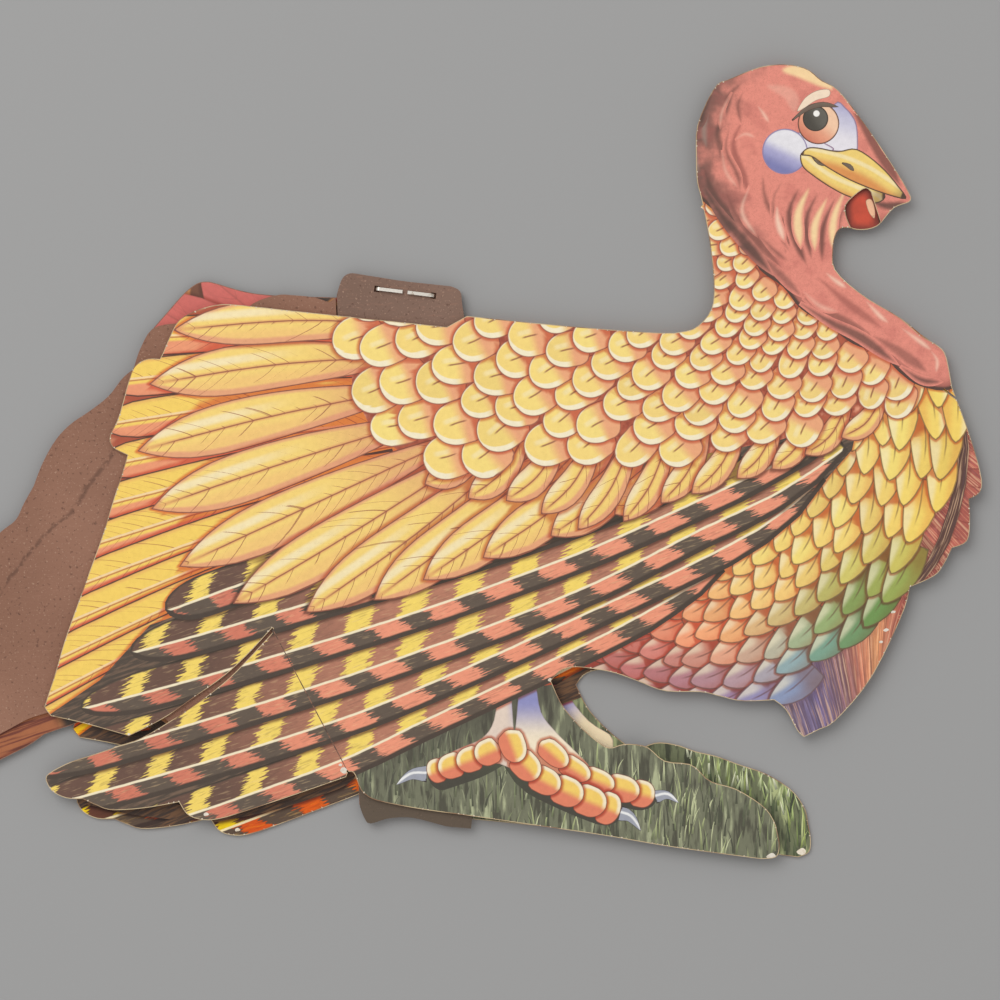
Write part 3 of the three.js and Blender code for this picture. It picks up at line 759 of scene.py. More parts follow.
def bar_ink(tree, known):
    # The quill runs a little below the middle of each feather.
    above = known["Across"] + 0.35
    torn = (strokes(tree, 0.38, 2700.0) - 0.5) * 7.0
    run = known["Along"] + torn + abs(above) * 0.75
    turns = (run / 12.6 + known["Tone"]).worked("FRACT")
    start = turns.above(0.0, 0.07)
    # Towards the tips the blocks get darker, the pale ones shorter and the dark ones longer.
    late = known["Share"].above(0.58, 0.84)
    more = late * 0.12
    brown = mixed(late, (186, 122, 98), (100, 68, 58))
    salmon = mixed(late, (246, 154, 122), (216, 120, 96))
    upper = mixed(start * (turns + more).below(0.47, 0.54), brown, (254, 222, 104))
    lower = mixed(start * (turns - more).below(0.47, 0.54), salmon, (90, 76, 66))
    body = mixed(above.above(-0.05, 0.05), lower, upper)
    hatched = mixed(strokes(tree, 0.4, 2900.0).above(0.52, 0.68) * 0.26, body, (78, 54, 48))
    bright = mixed(strokes(tree, 0.3, 2400.0).above(0.56, 0.7) * 0.2, hatched, (250, 214, 160))
    quilled = mixed(above.within(0.12, 0.36), bright, (254, 240, 206))
    gap = known["Edge"] - above.below(-0.4, 0.4) * 0.62
    return mixed(gap.below(0.2, 0.62), quilled, (60, 47, 42))


# The dark ink of the printed gaps under the bars, and of the painted shade on the far card's wing tips.
def dusk_ink(tree, known):
    return mixed(strokes(tree, 0.4, 1900.0, 3.0).above(0.4, 0.64), (66, 54, 48), (112, 88, 72))


inks["dusk"] = ink("dark_gap_and_painted_shade_print", dusk_ink, depth=0)
inks["bar"] = ink("barred_print", bar_ink, wobble=0.2, shade=(130, 100, 90), reach=1.0)
patch("dusk", [(0.856, 0.432), (0.852, 0.45), (0.808, 0.5), (0.77, 0.536), (0.7, 0.585), (0.6, 0.648), (0.5, 0.694),
               (0.345, 0.776), (0.31, 0.84), (0.2, 0.87), (0.09, 0.84), (0.0, 0.8), (0.02, 0.735), (0.1, 0.68),
               (0.15, 0.625), (0.5, 0.5), (0.72, 0.44)], [(0.84, 0.44), (0.1, 0.76)], steps=1, rings=())
bar_ways = [
    [(0.47, 0.744), (0.345, 0.797), (0.28, 0.82), (0.17, 0.856)],
    [(0.722, 0.566), (0.668, 0.598), (0.6, 0.635), (0.5, 0.683), (0.42, 0.721), (0.345, 0.757), (0.24, 0.796),
     (0.12, 0.836)],
    [(0.822, 0.476), (0.77, 0.52), (0.7, 0.558), (0.6, 0.605), (0.5, 0.651), (0.42, 0.686), (0.345, 0.716),
     (0.2, 0.762), (0.02, 0.812)],
    [(0.845, 0.446), (0.78, 0.49), (0.7, 0.528), (0.6, 0.579), (0.5, 0.62), (0.42, 0.649), (0.345, 0.675),
     (0.2, 0.72), (0.02, 0.772)],
    [(0.838, 0.434), (0.7, 0.498), (0.6, 0.543), (0.5, 0.581), (0.42, 0.609), (0.345, 0.633), (0.2, 0.676),
     (0.08, 0.708)],
    [(0.74, 0.453), (0.6, 0.508), (0.5, 0.543), (0.42, 0.568), (0.345, 0.591), (0.2, 0.633), (0.13, 0.652)],
    [(0.6, 0.471), (0.5, 0.505), (0.42, 0.528), (0.3, 0.562), (0.165, 0.61)],
]
for k, way in enumerate(bar_ways):
    vane("bar", way, 0.0212, quill_widths, steps=32, tone=(0.34 * k + dice.uniform(-0.05, 0.05)) % 1.0,
         lines=close_lines)
    if k == 0:
        # The lowest of them only shows on the flap: the grass lies over its root.
        prints.insert(0, prints.pop())
before_flight = len(prints)


# The flight feathers: long yellow leaves that fan back from the shoulder,
# with salmon margins, a soft brown quill and pen-drawn barbs.
def flight_ink(tree, known):
    share, across, edge = known["Share"], known["Across"], known["Edge"]
    lower_side = across.below(-2.6, -0.1)
    body = mixed(lower_side * 0.35, (253, 218, 120), (244, 174, 120))
    warm = mixed((edge - lower_side * 0.7).below(0.3, 1.1) * 0.72, body, (230, 148, 122))
    rooted = mixed(share.below(0.1, 0.42) * 0.55, warm, (222, 142, 112))
    glow = (across - 2.2).within(0.3, 1.3) * share.above(0.35, 0.7)
    glowing = mixed(glow * 0.7, rooted, (254, 242, 204))
    soft = mixed(across.within(0.15, 0.7) * 0.5, glowing, (222, 132, 92))
    penned = mixed(pen_lines(tree, known, 3.4, 1.1, 0.09) * 0.85, soft, (160, 88, 62))
    quilled = mixed(across.within(0.06, 0.24) * share.below(0.82, 0.96) * 0.9, penned, (158, 84, 62))
    return mixed(edge.below(0.12, 0.36), quilled, (138, 74, 58))


inks["flight"] = ink("flight_print", flight_ink, shade=(208, 130, 104), reach=1.1)
flight_roots = [(0.42, 0.325), (0.4, 0.365), (0.4, 0.41), (0.44, 0.45), (0.53, 0.46), (0.68, 0.43)]
flight_tips = [(0.17, 0.326), (0.142, 0.385), (0.138, 0.455), (0.16, 0.535), (0.225, 0.598), (0.32, 0.608),
               (0.42, 0.586), (0.52, 0.55), (0.61, 0.515)]
flights = rows_between(flight_roots, flight_tips, count=12)
for share, start, stop in flights[1:] + flights[:1]:
    stop = stop + (dice.uniform(-0.008, 0.008), dice.uniform(-0.004, 0.004))
    middle = (start + stop) / 2 + (0.012 * share, 0.014 * (share - 0.5))
    half = (0.0245 if share else 0.0225) + 0.003 * math.sin(math.pi * share) - 0.004 * share
    vane("flight", [start, middle, stop], half, leaf_widths, steps=16, lines=(0.0, 0.45, 0.85))
leaf_roots = [(0.49, 0.43), (0.6, 0.435), (0.7, 0.425), (0.8, 0.41), (0.885, 0.39)]
leaf_tips = [(0.425, 0.484), (0.5, 0.505), (0.58, 0.525), (0.66, 0.503), (0.73, 0.482), (0.79, 0.465),
             (0.845, 0.435)]
for share, start, stop in rows_between(leaf_roots, leaf_tips, count=12):
    stop = stop + (dice.uniform(-0.006, 0.006), dice.uniform(-0.006, 0.006))
    middle = (start + stop) / 2 + (0.004, 0.008)
    vane("flight", [start, middle, stop], 0.0165 - 0.004 * share, lines=(0.0, 0.45, 0.85))


# The wing flap's score line is drawn as a fine dark line along its crease. Wear: the paper has lifted off in small
# chips at the ends of the folds and along the cut edges, down to the pale board.
def mottled(scale, detail, low, high, first, second):
    """An ink that wavers between two colours."""
    return lambda tree, known: mixed(noise(spot_in(tree), scale, detail).above(low, high), first, second)


def round_points(middle, count, spread):
    """Points round a middle, at half widths across and down that spread gives for each."""
    turns = np.linspace(0, 2 * math.pi, count, endpoint=False)
    return [(middle[0] + spread(0) * math.cos(t), middle[1] + spread(1) * math.sin(t)) for t in turns]


inks["wear"] = ink("worn_chips", mottled(1600.0, 3.0, 0.4, 0.7, (236, 228, 214), (218, 206, 188)), depth=0, fade=0.0)
inks["score"] = ink("scored_crease", mottled(900.0, 3.0, 0.4, 0.6, (66, 46, 42), (140, 96, 76)), depth=0)
score_line = [(0.272, 0.628), (0.348, 0.772)]
vane("score", score_line, 0.0005, strip_widths, lines=())
for middle, size in (
    ((0.344, 0.7705), 0.0042), ((0.3405, 0.765), 0.002), ((0.206, 0.8145), 0.0026), ((0.092, 0.8065), 0.002),
    ((0.772, 0.8565), 0.0045), ((0.8935, 0.612), 0.0022), ((0.886, 0.63), 0.0026), ((0.881, 0.642), 0.0018),
    ((0.129, 0.7345), 0.002), ((0.664, 0.3325), 0.0034), ((0.55, 0.6795), 0.0022), ((0.9865, 0.4855), 0.0022),
):
    chip = round_points(middle, 8, lambda k: size * dice.uniform(*((0.6, 1.3), (0.4, 0.9))[k]))
    patch("wear", chip, [chip[4], chip[0]], steps=2, rings=())


# The coverts and the neck: round yellow scales with cream rims, large at the wing's bend and small
# at the neck. They point away from the head, each over the root of the one behind it.
def covert_ink(tree, known):
    share, across, edge = known["Share"], known["Across"], known["Edge"]
    body = mixed(share.below(0.34, 0.6) * 0.82, known["Tint"], (240, 156, 124))
    streak = (across - 1.0).within(0.2, 0.8) * (share - 0.62).within(0.08, 0.2)
    streaked = mixed(streak * 0.5, body, (254, 240, 196))
    rim = (edge - across.below(-3.0, 1.4) * 0.95).below(0.22, 0.55) * share.above(0.42, 0.62)
    rimmed = mixed(rim * 0.92, streaked, (253, 243, 214))
    quill = across.within(0.08, 0.28) * (share - 0.52).within(0.1, 0.2)
    quilled = mixed(quill * 0.85, rimmed, (150, 84, 62))
    return mixed(edge.below(0.1, 0.34), quilled, (160, 88, 68))


def inside(spot, bounds):
    """Whether a spot lies inside a closed line."""
    a, b = bounds, np.roll(bounds, -1, axis=0)
    cross = (a[:, 1] > spot[1]) != (b[:, 1] > spot[1])
    at = a[:, 0] + (spot[1] - a[:, 1]) * (b[:, 0] - a[:, 0]) / np.where(cross, b[:, 1] - a[:, 1], 1)
    return bool((cross & (spot[0] < at)).sum() % 2)


salmon_ground = mottled(700.0, 4.0, 0.35, 0.65, (196, 112, 88), (236, 158, 126))
inks["flesh"] = ink("salmon_ground_print", salmon_ground, shade=(190, 120, 100), reach=0.7)
inks["covert"] = ink("covert_print", covert_ink, shade=(214, 134, 112), reach=0.85)
covert_bounds = np.array([
    (0.352, 0.3), (0.46, 0.305), (0.6, 0.315), (0.69, 0.32), (0.7, 0.3), (0.695, 0.19), (0.715, 0.195),
    (0.745, 0.24), (0.765, 0.28), (0.81, 0.315), (0.86, 0.35), (0.905, 0.385), (0.9, 0.405), (0.87, 0.415),
    (0.84, 0.42), (0.78, 0.44), (0.7, 0.455), (0.6, 0.462), (0.52, 0.462), (0.44, 0.468), (0.4, 0.452),
    (0.372, 0.43), (0.352, 0.39),
])
patch("flesh", covert_bounds, [(0.75, 0.25), (0.4, 0.4)], steps=1, rings=())
# The salmon ground shows between the coverts only: the flight feathers lie over its far edge.
prints.insert(before_flight, prints.pop())
head_point = np.array((0.8, 0.2))
reach_steps, size_steps = [0.03, 0.12, 0.2, 0.3, 0.42], [0.0205, 0.0235, 0.031, 0.0385, 0.0445]
outer_reach, inner_reach, row_overlap = 0.5, 0.035, 0.66
neck_turn, belly_turn = 40, 215
reach = outer_reach
row = 0
while reach > inner_reach:
    size = np.interp(reach, reach_steps, size_steps)
    pitch = math.degrees(size / reach)
    turn = neck_turn + (row % 2) * 0.5 * pitch
    while turn < belly_turn:
        at = reach + size * dice.uniform(-0.13, 0.13)
        swing = math.radians(turn + dice.uniform(-0.1, 0.1) * pitch)
        spot = head_point + np.array((math.cos(swing), math.sin(swing))) * at
        turn += pitch
        if not inside(spot, covert_bounds):
            continue
        angle = math.radians(np.interp(math.degrees(swing), [50, 90, 130, 180], [112, 124, 146, 174])
                             + dice.uniform(-13, 13))
        way = np.array((math.cos(angle), math.sin(angle)))
        side = np.array((-way[1], way[0]))
        root = spot - way * size * 0.72
        tip = spot + way * size * dice.uniform(0.42, 0.58)
        middle = (root + tip) / 2 + side * size * dice.uniform(-0.07, 0.07)
        tint = jittered(blended((254, 222, 126), (254, 220, 132), min(1, max(0, (spot[0] - 0.5) / 0.3))), 0.03)
        vane("covert", [root, middle, tip], size * dice.uniform(0.46, 0.56), scallop_widths, tint,
             steps=17, lines=close_lines)
    reach -= size * row_overlap
    row += 1


# The head: bare salmon skin that hangs in folds to the wattle, a lilac cheek, a large eye
# under a pale brow, and a short yellow beak.
def skin_tone(tree):
    spot = spot_in(tree)
    part = node(tree, "ShaderNodeSeparateXYZ", {0: spot})
    cloud = noise(spot, 210.0, 3.0)
    # The back of the head is shaded off round a point behind the eye, in a lumpy edge.
    eye = on_card(0.802, 0.15)
    right = part["X"] - eye.x
    up = (part["Y"] - eye.y) * 0.86
    away = (right * right + up * up).worked("SQRT")
    ring = (away + (cloud - 0.5) * (0.09 * blank)).above(0.066 * blank, 0.108 * blank)
    back = ring * part["X"].below((0.735 - 0.5) * blank, (0.79 - 0.5) * blank)
    base = mixed(back, (236, 142, 126), (116, 76, 70))
    clouded = mixed(cloud.above(0.5, 0.7) * 0.4, base, (196, 104, 96))
    fine = noise(spot, 700.0, 5.0, Roughness=0.7, Distortion=1.2)
    return mixed((fine - 0.5).within(0.006, 0.022) * 0.28, clouded, (138, 72, 64))


def skin_ink(tree, known):
    rounded = mixed(known["Edge"].below(0.3, 3.4) * 0.8, skin_tone(tree), (140, 72, 66))
    return mixed(known["Edge"].below(0.45, 1.05), rounded, (74, 46, 42))


def fold_ink(tree, known):
    return mixed(known["Edge"].above(0.0, 1.1) * known["Tone"], skin_tone(tree), known["Tint"])


def flat_ink(tree, known):
    lit = mixed(known["Across"].above(-3.0, 3.0) * 0.2, known["Tint"], (255, 240, 210))
    return mixed(known["Edge"].below(0.02, 0.16), lit, mixed(0.7, known["Tint"], (70, 40, 36)))


def round_ink(dark, middle, pale, line):
    """A round thing lit from the upper right, from its dark side to its pale one, in a thin line."""
    def draw(tree, known):
        light = known["Share"] * 0.62 + known["Across"] * known["Tone"]
        lit = mixed(light.above(0.12, 0.5), mixed(light.above(-0.25, 0.2), dark, middle), pale)
        return mixed(known["Edge"].below(0.1, 0.4), lit, line)
    return draw


def beak_ink(tree, known):
    body = mixed(known["Across"].above(-1.6, 0.4), (226, 148, 78), (248, 214, 118))
    lit = mixed((known["Across"] - 1.3).within(0.15, 0.7) * 0.6, body, (254, 242, 200))
    tipped = mixed(known["Share"].above(0.86, 1.0) * 0.6, lit, (126, 88, 62))
    return mixed(known["Edge"].below(0.14, 0.4), tipped, (74, 48, 38))


for key, name, draw in (
    ("skin", "skin_print", skin_ink), ("fold", "skin_fold_print", fold_ink), ("flat", "face_print", flat_ink),
    ("cheek", "cheek_print", round_ink((122, 124, 180), (172, 170, 212), (236, 234, 240), (140, 126, 170))),
    ("lid", "lid_print", round_ink((166, 164, 206), (206, 204, 226), (236, 232, 240), (150, 120, 150))),
    ("iris", "iris_print", round_ink((206, 108, 86), (236, 158, 126), (250, 206, 172), (84, 46, 40))),
    ("pupil", "pupil_print", round_ink((46, 42, 40), (60, 58, 54), (92, 90, 84), (40, 32, 30))),
    ("beak", "beak_print", beak_ink),
):
    inks[key] = ink(name, draw, depth=0)
head_round = [
    (0.705, 0.203), (0.731, 0.224), (0.75, 0.249), (0.76, 0.27), (0.783, 0.287), (0.801, 0.309), (0.829, 0.326),
    (0.853, 0.344), (0.881, 0.354), (0.899, 0.372), (0.92, 0.386), (0.952, 0.389), (0.965, 0.36), (0.92, 0.32),
    (0.87, 0.28), (0.86, 0.24), (0.93, 0.2), (0.9, 0.13), (0.85, 0.08), (0.79, 0.05), (0.72, 0.07), (0.685, 0.12),
    (0.685, 0.18),
]
patch("skin", head_round, [(0.76, 0.08), (0.77, 0.2), (0.85, 0.31), (0.945, 0.37)], rings=())
black_fold, dark_fold, deep_fold, grey_fold = (72, 46, 44), (120, 66, 60), (164, 86, 78), (150, 132, 122)
pale_fold, gold_fold = (254, 212, 188), (254, 218, 164)
for spine, half, tint, tone in (
    ([(0.742, 0.083), (0.73, 0.095), (0.726, 0.118)], 0.0055, black_fold, 0.7),
    ([(0.723, 0.108), (0.718, 0.138), (0.73, 0.168)], 0.006, black_fold, 0.7),
    ([(0.709, 0.1), (0.704, 0.13), (0.707, 0.15)], 0.005, grey_fold, 0.7),
    ([(0.703, 0.165), (0.716, 0.2), (0.746, 0.234)], 0.0075, black_fold, 0.65),
    ([(0.732, 0.092), (0.722, 0.112), (0.72, 0.13)], 0.003, pale_fold, 0.5),
    ([(0.722, 0.15), (0.726, 0.172), (0.74, 0.19)], 0.004, pale_fold, 0.4),
    ([(0.744, 0.118), (0.733, 0.145), (0.744, 0.178), (0.75, 0.2)], 0.0065, deep_fold, 0.85),
    ([(0.762, 0.172), (0.767, 0.204), (0.788, 0.231), (0.784, 0.258)], 0.0062, dark_fold, 0.75),
    ([(0.726, 0.192), (0.738, 0.218), (0.762, 0.246), (0.785, 0.272)], 0.0062, dark_fold, 0.7),
    ([(0.785, 0.178), (0.773, 0.2), (0.779, 0.232), (0.792, 0.256)], 0.0042, black_fold, 0.6),
    ([(0.8, 0.186), (0.789, 0.213), (0.797, 0.243), (0.808, 0.268)], 0.0066, dark_fold, 0.95),
    ([(0.818, 0.192), (0.806, 0.222), (0.812, 0.262)], 0.0058, dark_fold, 0.95),
    ([(0.836, 0.196), (0.823, 0.228), (0.822, 0.264)], 0.0056, dark_fold, 0.95),
    ([(0.757, 0.252), (0.784, 0.278), (0.803, 0.298)], 0.006, black_fold, 0.5),
    ([(0.803, 0.297), (0.84, 0.32), (0.875, 0.338)], 0.008, dark_fold, 0.7),
    ([(0.815, 0.275), (0.85, 0.305), (0.885, 0.33)], 0.0065, deep_fold, 0.7),
    ([(0.872, 0.335), (0.9, 0.352), (0.93, 0.374)], 0.0075, dark_fold, 0.6),
    ([(0.846, 0.096), (0.862, 0.122), (0.882, 0.155), (0.903, 0.19)], 0.0085, dark_fold, 0.85),
    ([(0.868, 0.2), (0.888, 0.206), (0.91, 0.203)], 0.0065, black_fold, 0.85),
    ([(0.866, 0.118), (0.878, 0.138), (0.893, 0.163)], 0.0034, black_fold, 0.7),
    ([(0.85, 0.2), (0.838, 0.222), (0.838, 0.25), (0.85, 0.272)], 0.0065, dark_fold, 0.7),
    ([(0.704, 0.188), (0.722, 0.216), (0.748, 0.246), (0.774, 0.276)], 0.007, black_fold, 0.8),
    ([(0.8, 0.303), (0.83, 0.322), (0.862, 0.338), (0.9, 0.366)], 0.0068, black_fold, 0.75),
    ([(0.9, 0.366), (0.922, 0.38), (0.944, 0.382)], 0.005, black_fold, 0.8),
    ([(0.716, 0.084), (0.704, 0.106), (0.7, 0.13)], 0.0062, black_fold, 0.8),
    ([(0.696, 0.128), (0.694, 0.15), (0.7, 0.176)], 0.0045, grey_fold, 0.7),
    ([(0.744, 0.09), (0.738, 0.106), (0.742, 0.126)], 0.004, dark_fold, 0.8),
    ([(0.73, 0.125), (0.726, 0.15), (0.738, 0.176), (0.74, 0.196)], 0.0045, dark_fold, 0.8),
    ([(0.76, 0.236), (0.776, 0.252), (0.79, 0.262)], 0.0045, dark_fold, 0.7),
    ([(0.84, 0.268), (0.862, 0.286), (0.89, 0.31), (0.925, 0.336)], 0.0034, deep_fold, 0.8),
    ([(0.75, 0.185), (0.742, 0.212), (0.758, 0.238)], 0.0042, pale_fold, 0.6),
    ([(0.777, 0.205), (0.778, 0.222), (0.785, 0.243)], 0.0052, pale_fold, 0.95),
    ([(0.81, 0.186), (0.798, 0.215), (0.801, 0.25)], 0.0066, gold_fold, 1.0),
    ([(0.828, 0.196), (0.815, 0.225), (0.815, 0.254)], 0.006, gold_fold, 1.0),
    ([(0.846, 0.188), (0.834, 0.218), (0.832, 0.252)], 0.006, gold_fold, 1.0),
    ([(0.78, 0.07), (0.8, 0.071), (0.822, 0.078), (0.834, 0.092)], 0.0115, gold_fold, 1.0),
    ([(0.757, 0.105), (0.763, 0.113), (0.77, 0.124)], 0.0036, pale_fold, 0.85),
    ([(0.735, 0.14), (0.745, 0.134), (0.757, 0.138)], 0.0034, pale_fold, 0.6),
    ([(0.838, 0.088), (0.849, 0.102), (0.858, 0.115)], 0.0036, gold_fold, 0.7),
    ([(0.765, 0.085), (0.79, 0.095), (0.795, 0.115)], 0.009, pale_fold, 0.25),
    ([(0.825, 0.272), (0.836, 0.281), (0.848, 0.289)], 0.0042, pale_fold, 0.95),
    ([(0.865, 0.3), (0.88, 0.316), (0.89, 0.324)], 0.0042, pale_fold, 0.9),
    ([(0.9, 0.327), (0.918, 0.34), (0.934, 0.352)], 0.0042, pale_fold, 0.85),
    ([(0.93, 0.35), (0.937, 0.36), (0.936, 0.374)], 0.0034, pale_fold, 1.0),
    ([(0.802, 0.29), (0.82, 0.306), (0.84, 0.312)], 0.0045, pale_fold, 0.4),
):
    vane("fold", spine, half, leaf_widths, tint, steps=14, tone=tone, lines=(0.0, 0.5))


def disc(ink_name, middle, radius, tint=mid_grey, tone=0.1):
    """A round patch, with rings enough for its edge to shade evenly."""
    ends = [(middle[0] - radius, middle[1]), (middle[0] + radius, middle[1])]
    outline = round_points(middle, 20, lambda _: radius)
    patch(ink_name, outline, ends, tint, tone, steps=2, rings=(0.94, 0.84, 0.65, 0.35))


patch("lid", [(0.834, 0.104), (0.846, 0.108), (0.856, 0.122), (0.858, 0.142), (0.856, 0.152), (0.842, 0.152),
              (0.822, 0.15), (0.812, 0.146)], [(0.835, 0.11), (0.85, 0.15)], tone=-0.05, rings=(0.85, 0.5))
patch("lid", [(0.79, 0.136), (0.806, 0.133), (0.825, 0.143), (0.834, 0.15), (0.815, 0.158), (0.8, 0.158)],
      [(0.788, 0.15), (0.83, 0.146)], tone=0.2, rings=(0.8, 0.5))
disc("cheek", (0.785, 0.1515), 0.0228, tone=0.13)
disc("iris", (0.8185, 0.1235), 0.0208, tone=0.08)
disc("pupil", (0.8155, 0.1185), 0.0128, tone=0.06)
disc("flat", (0.8165, 0.1135), 0.0034, (250, 250, 248))
patch("flat", [(0.797, 0.111), (0.805, 0.098), (0.817, 0.0905), (0.829, 0.0895), (0.829, 0.0965), (0.816, 0.1005),
               (0.803, 0.109)], [(0.797, 0.11), (0.828, 0.093)], (250, 226, 200))
vane("flat", [(0.792, 0.1205), (0.806, 0.1095), (0.822, 0.1045), (0.839, 0.107)], 0.0027, leaf_widths, (66, 38, 36))
patch("beak", [(0.801, 0.153), (0.815, 0.152), (0.835, 0.165), (0.86, 0.178), (0.885, 0.194), (0.876, 0.2035),
               (0.85, 0.1975), (0.83, 0.1875), (0.813, 0.176), (0.802, 0.166)],
      [(0.802, 0.162), (0.83, 0.182), (0.876, 0.201)], rings=(0.7,))
patch("beak", [(0.801, 0.155), (0.807, 0.148), (0.818, 0.1475), (0.838, 0.151), (0.857, 0.149), (0.88, 0.165),
               (0.897, 0.184), (0.906, 0.199), (0.88, 0.1925), (0.85, 0.1805), (0.826, 0.167), (0.812, 0.157)],
      [(0.803, 0.153), (0.84, 0.162), (0.87, 0.175), (0.903, 0.197)], rings=(0.85, 0.5))
vane("flat", [(0.812, 0.157), (0.818, 0.163), (0.826, 0.166)], 0.0014, leaf_widths, (60, 36, 30), steps=6)
vane("flat", [(0.842, 0.163), (0.849, 0.166), (0.854, 0.171)], 0.0024, leaf_widths, (60, 40, 32), steps=6)


# The press: the shapes are laid over each other in one plane, so that only the topmost shows
# at each point, and are cut along the cards' own outlines. Each card gets a film of print.
film_thickness = 0.00002
rim_width = 0.00016
crease_reach, crease_gap = 0.00015, 0.0004
far_cover = 0.004
to_mm = 1000
# The cut keeps the triangles inside its outlines only, and joins points nearer than this in mm.
inside_only, joined_within = 1, 1e-4
level_play, fewest_corners, mitre_limit = 1e-5, 8, 0.35


def card_outlines(name):
    """The loops of a flat CAD node's upper face, drawn in a little, as lists of 2D points."""
    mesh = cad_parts[name].data
    places = np.array([v.co[:] for v in mesh.vertices])
    top = places[:, 2].max()
    edges = {}
    for polygon in mesh.polygons:
        if polygon.normal.z < 0.5 or abs(places[polygon.vertices[0]][2] - top) > level_play:
            continue
        corners = [tuple(np.round(places[i][:2], 7)) for i in polygon.vertices]
        for a, b in zip(corners, corners[1:] + corners[:1]):
            if not edges.pop((b, a), False):
                edges[(a, b)] = True
    after = {}
    for a, b in edges:
        after.setdefault(a, []).append(b)
    loops = []
    while after:
        start = next(iter(after))
        loop = [start]
        while True:
            onward = after[loop[-1]].pop()
            if not after[loop[-1]]:
                del after[loop[-1]]
            if onward == start or onward not in after:
                break
            loop.append(onward)
        loops.append(np.array(loop))
    return [drawn_in(loop, rim_width) for loop in loops if len(loop) > fewest_corners]


def drawn_in(loop, width):
    """A loop moved inwards by a width. The material lies to the left of its way round."""
    before = loop - np.roll(loop, 1, axis=0)
    after = np.roll(loop, -1, axis=0) - loop
    sides = [np.stack([-w[:, 1], w[:, 0]], 1) / np.linalg.norm(w, axis=1)[:, None] for w in (before, after)]
    middle = sides[0] + sides[1]
    middle /= np.maximum(np.linalg.norm(middle, axis=1), mitre_limit)[:, None]
    return loop + middle * width


def turned(points, angle, pivot):
    """Points turned about a pivot."""
    c, s = math.cos(angle), math.sin(angle)
    return (np.asarray(points) - pivot) @ np.array([[c, s], [-s, c]]) + pivot


def pressed(shapes, regions, angle, pivot):
    """Cuts the shapes along each other and the regions.

    Gives the points, the triangles, and the topmost shape and the region of each triangle.
    """
    points, edges, faces = [], [], []

    def add(line):
        start = len(points)
        points.extend(Vector((x * to_mm, y * to_mm)) for x, y in line)
        return list(range(start, len(points)))

    for shape in shapes:
        outline = turned(shape["outline"], angle, pivot)
        onward = np.roll(outline, -1, axis=0)
        swept = (outline[:, 0] * onward[:, 1] - outline[:, 1] * onward[:, 0]).sum()
        faces.append(add(outline if swept > 0 else outline[::-1]))
        for line in shape["inner"]:
            run = add(turned(line, angle, pivot))
            edges.extend(zip(run, run[1:]))
    names = [name for name, loops in regions.items() for _ in loops]
    faces.extend(add(loop) for loops in regions.values() for loop in loops)
    verts, _, tris, _, _, owners = delaunay_2d_cdt(points, edges, faces, inside_only, joined_within, True)
    count = len(shapes)
    kept, tops, homes = [], [], []
    for tri, owner in zip(tris, owners):
        home = [names[i - count] for i in owner if i >= count]
        if home and len(tri) == 3:
            kept.append(list(tri))
            tops.append(max((i for i in owner if i < count), default=-1))
            homes.append(home[0])
    return np.array([v[:] for v in verts]) / to_mm, kept, tops, homes


def nearest_on_line(points, line, closed=False):
    """For each point: its distance to the line, how far along that is, and which side it lies on."""
    a = line if closed else line[:-1]
    b = np.roll(line, -1, axis=0) if closed else line[1:]
    way = b - a
    length = np.linalg.norm(way, axis=1)
    length[length < 1e-12] = 1e-12
    start = np.concatenate([[0], np.cumsum(length)[:-1]])
    rel = points[:, None, :] - a[None]
    share = np.clip((rel * way).sum(2) / length**2, 0, 1)
    far = np.linalg.norm(rel - share[:, :, None] * way, axis=2)
    best = far.argmin(1)
    rows = np.arange(len(points))
    run = start[best] + share[rows, best] * length[best]
    cross = way[best, 0] * rel[rows, best, 1] - way[best, 1] * rel[rows, best, 0]
    return far[rows, best], run, np.sign(cross), start[-1] + length[-1]


def knowledge(places, pairs, shapes, angle, pivot):
    """What each pair of a point and its topmost shape knows.

    A row holds along, across, edge, share, tone, seed, cover and the tint. The lengths are in millimetres.
    """
    rows = np.zeros((len(pairs), 11))
    spots = turned(places[pairs[:, 0]], -angle, pivot)
    lows = np.array([shape["outline"].min(0) for shape in shapes])
    highs = np.array([shape["outline"].max(0) for shape in shapes])
    casting = np.array([shape["ink"] not in ("score", "wear") for shape in shapes])
    for owner in np.unique(pairs[:, 1]):
        here = np.flatnonzero(pairs[:, 1] == owner)
        at = spots[here]
        low, high = at.min(0) - far_cover, at.max(0) + far_cover
        near = np.flatnonzero((lows < high).all(1) & (highs > low).all(1) & casting)
        cover = np.full(len(here), far_cover)
        for other in near[near > owner]:
            cover = np.minimum(cover, nearest_on_line(at, shapes[other]["outline"], True)[0])
        rows[here, 6] = cover * to_mm
        if owner < 0:
            rows[here, :2] = at * to_mm
            rows[here, 2] = far_cover * to_mm
            rows[here, 7:] = 1.0
            continue
        shape = shapes[owner]
        off, run, side, total = nearest_on_line(at, shape["spine"])
        if shape["spine"][-1, 0] < shape["spine"][0, 0]:
            side = -side
        edge = nearest_on_line(at, shape["outline"], True)[0]
        rows[here, :4] = np.stack([run * to_mm, off * side * to_mm, edge * to_mm, run / total], 1)
        rows[here, 4:6] = shape["tone"], shape["seed"]
        rows[here, 7:] = linear(*shape["tint"])
    return rows


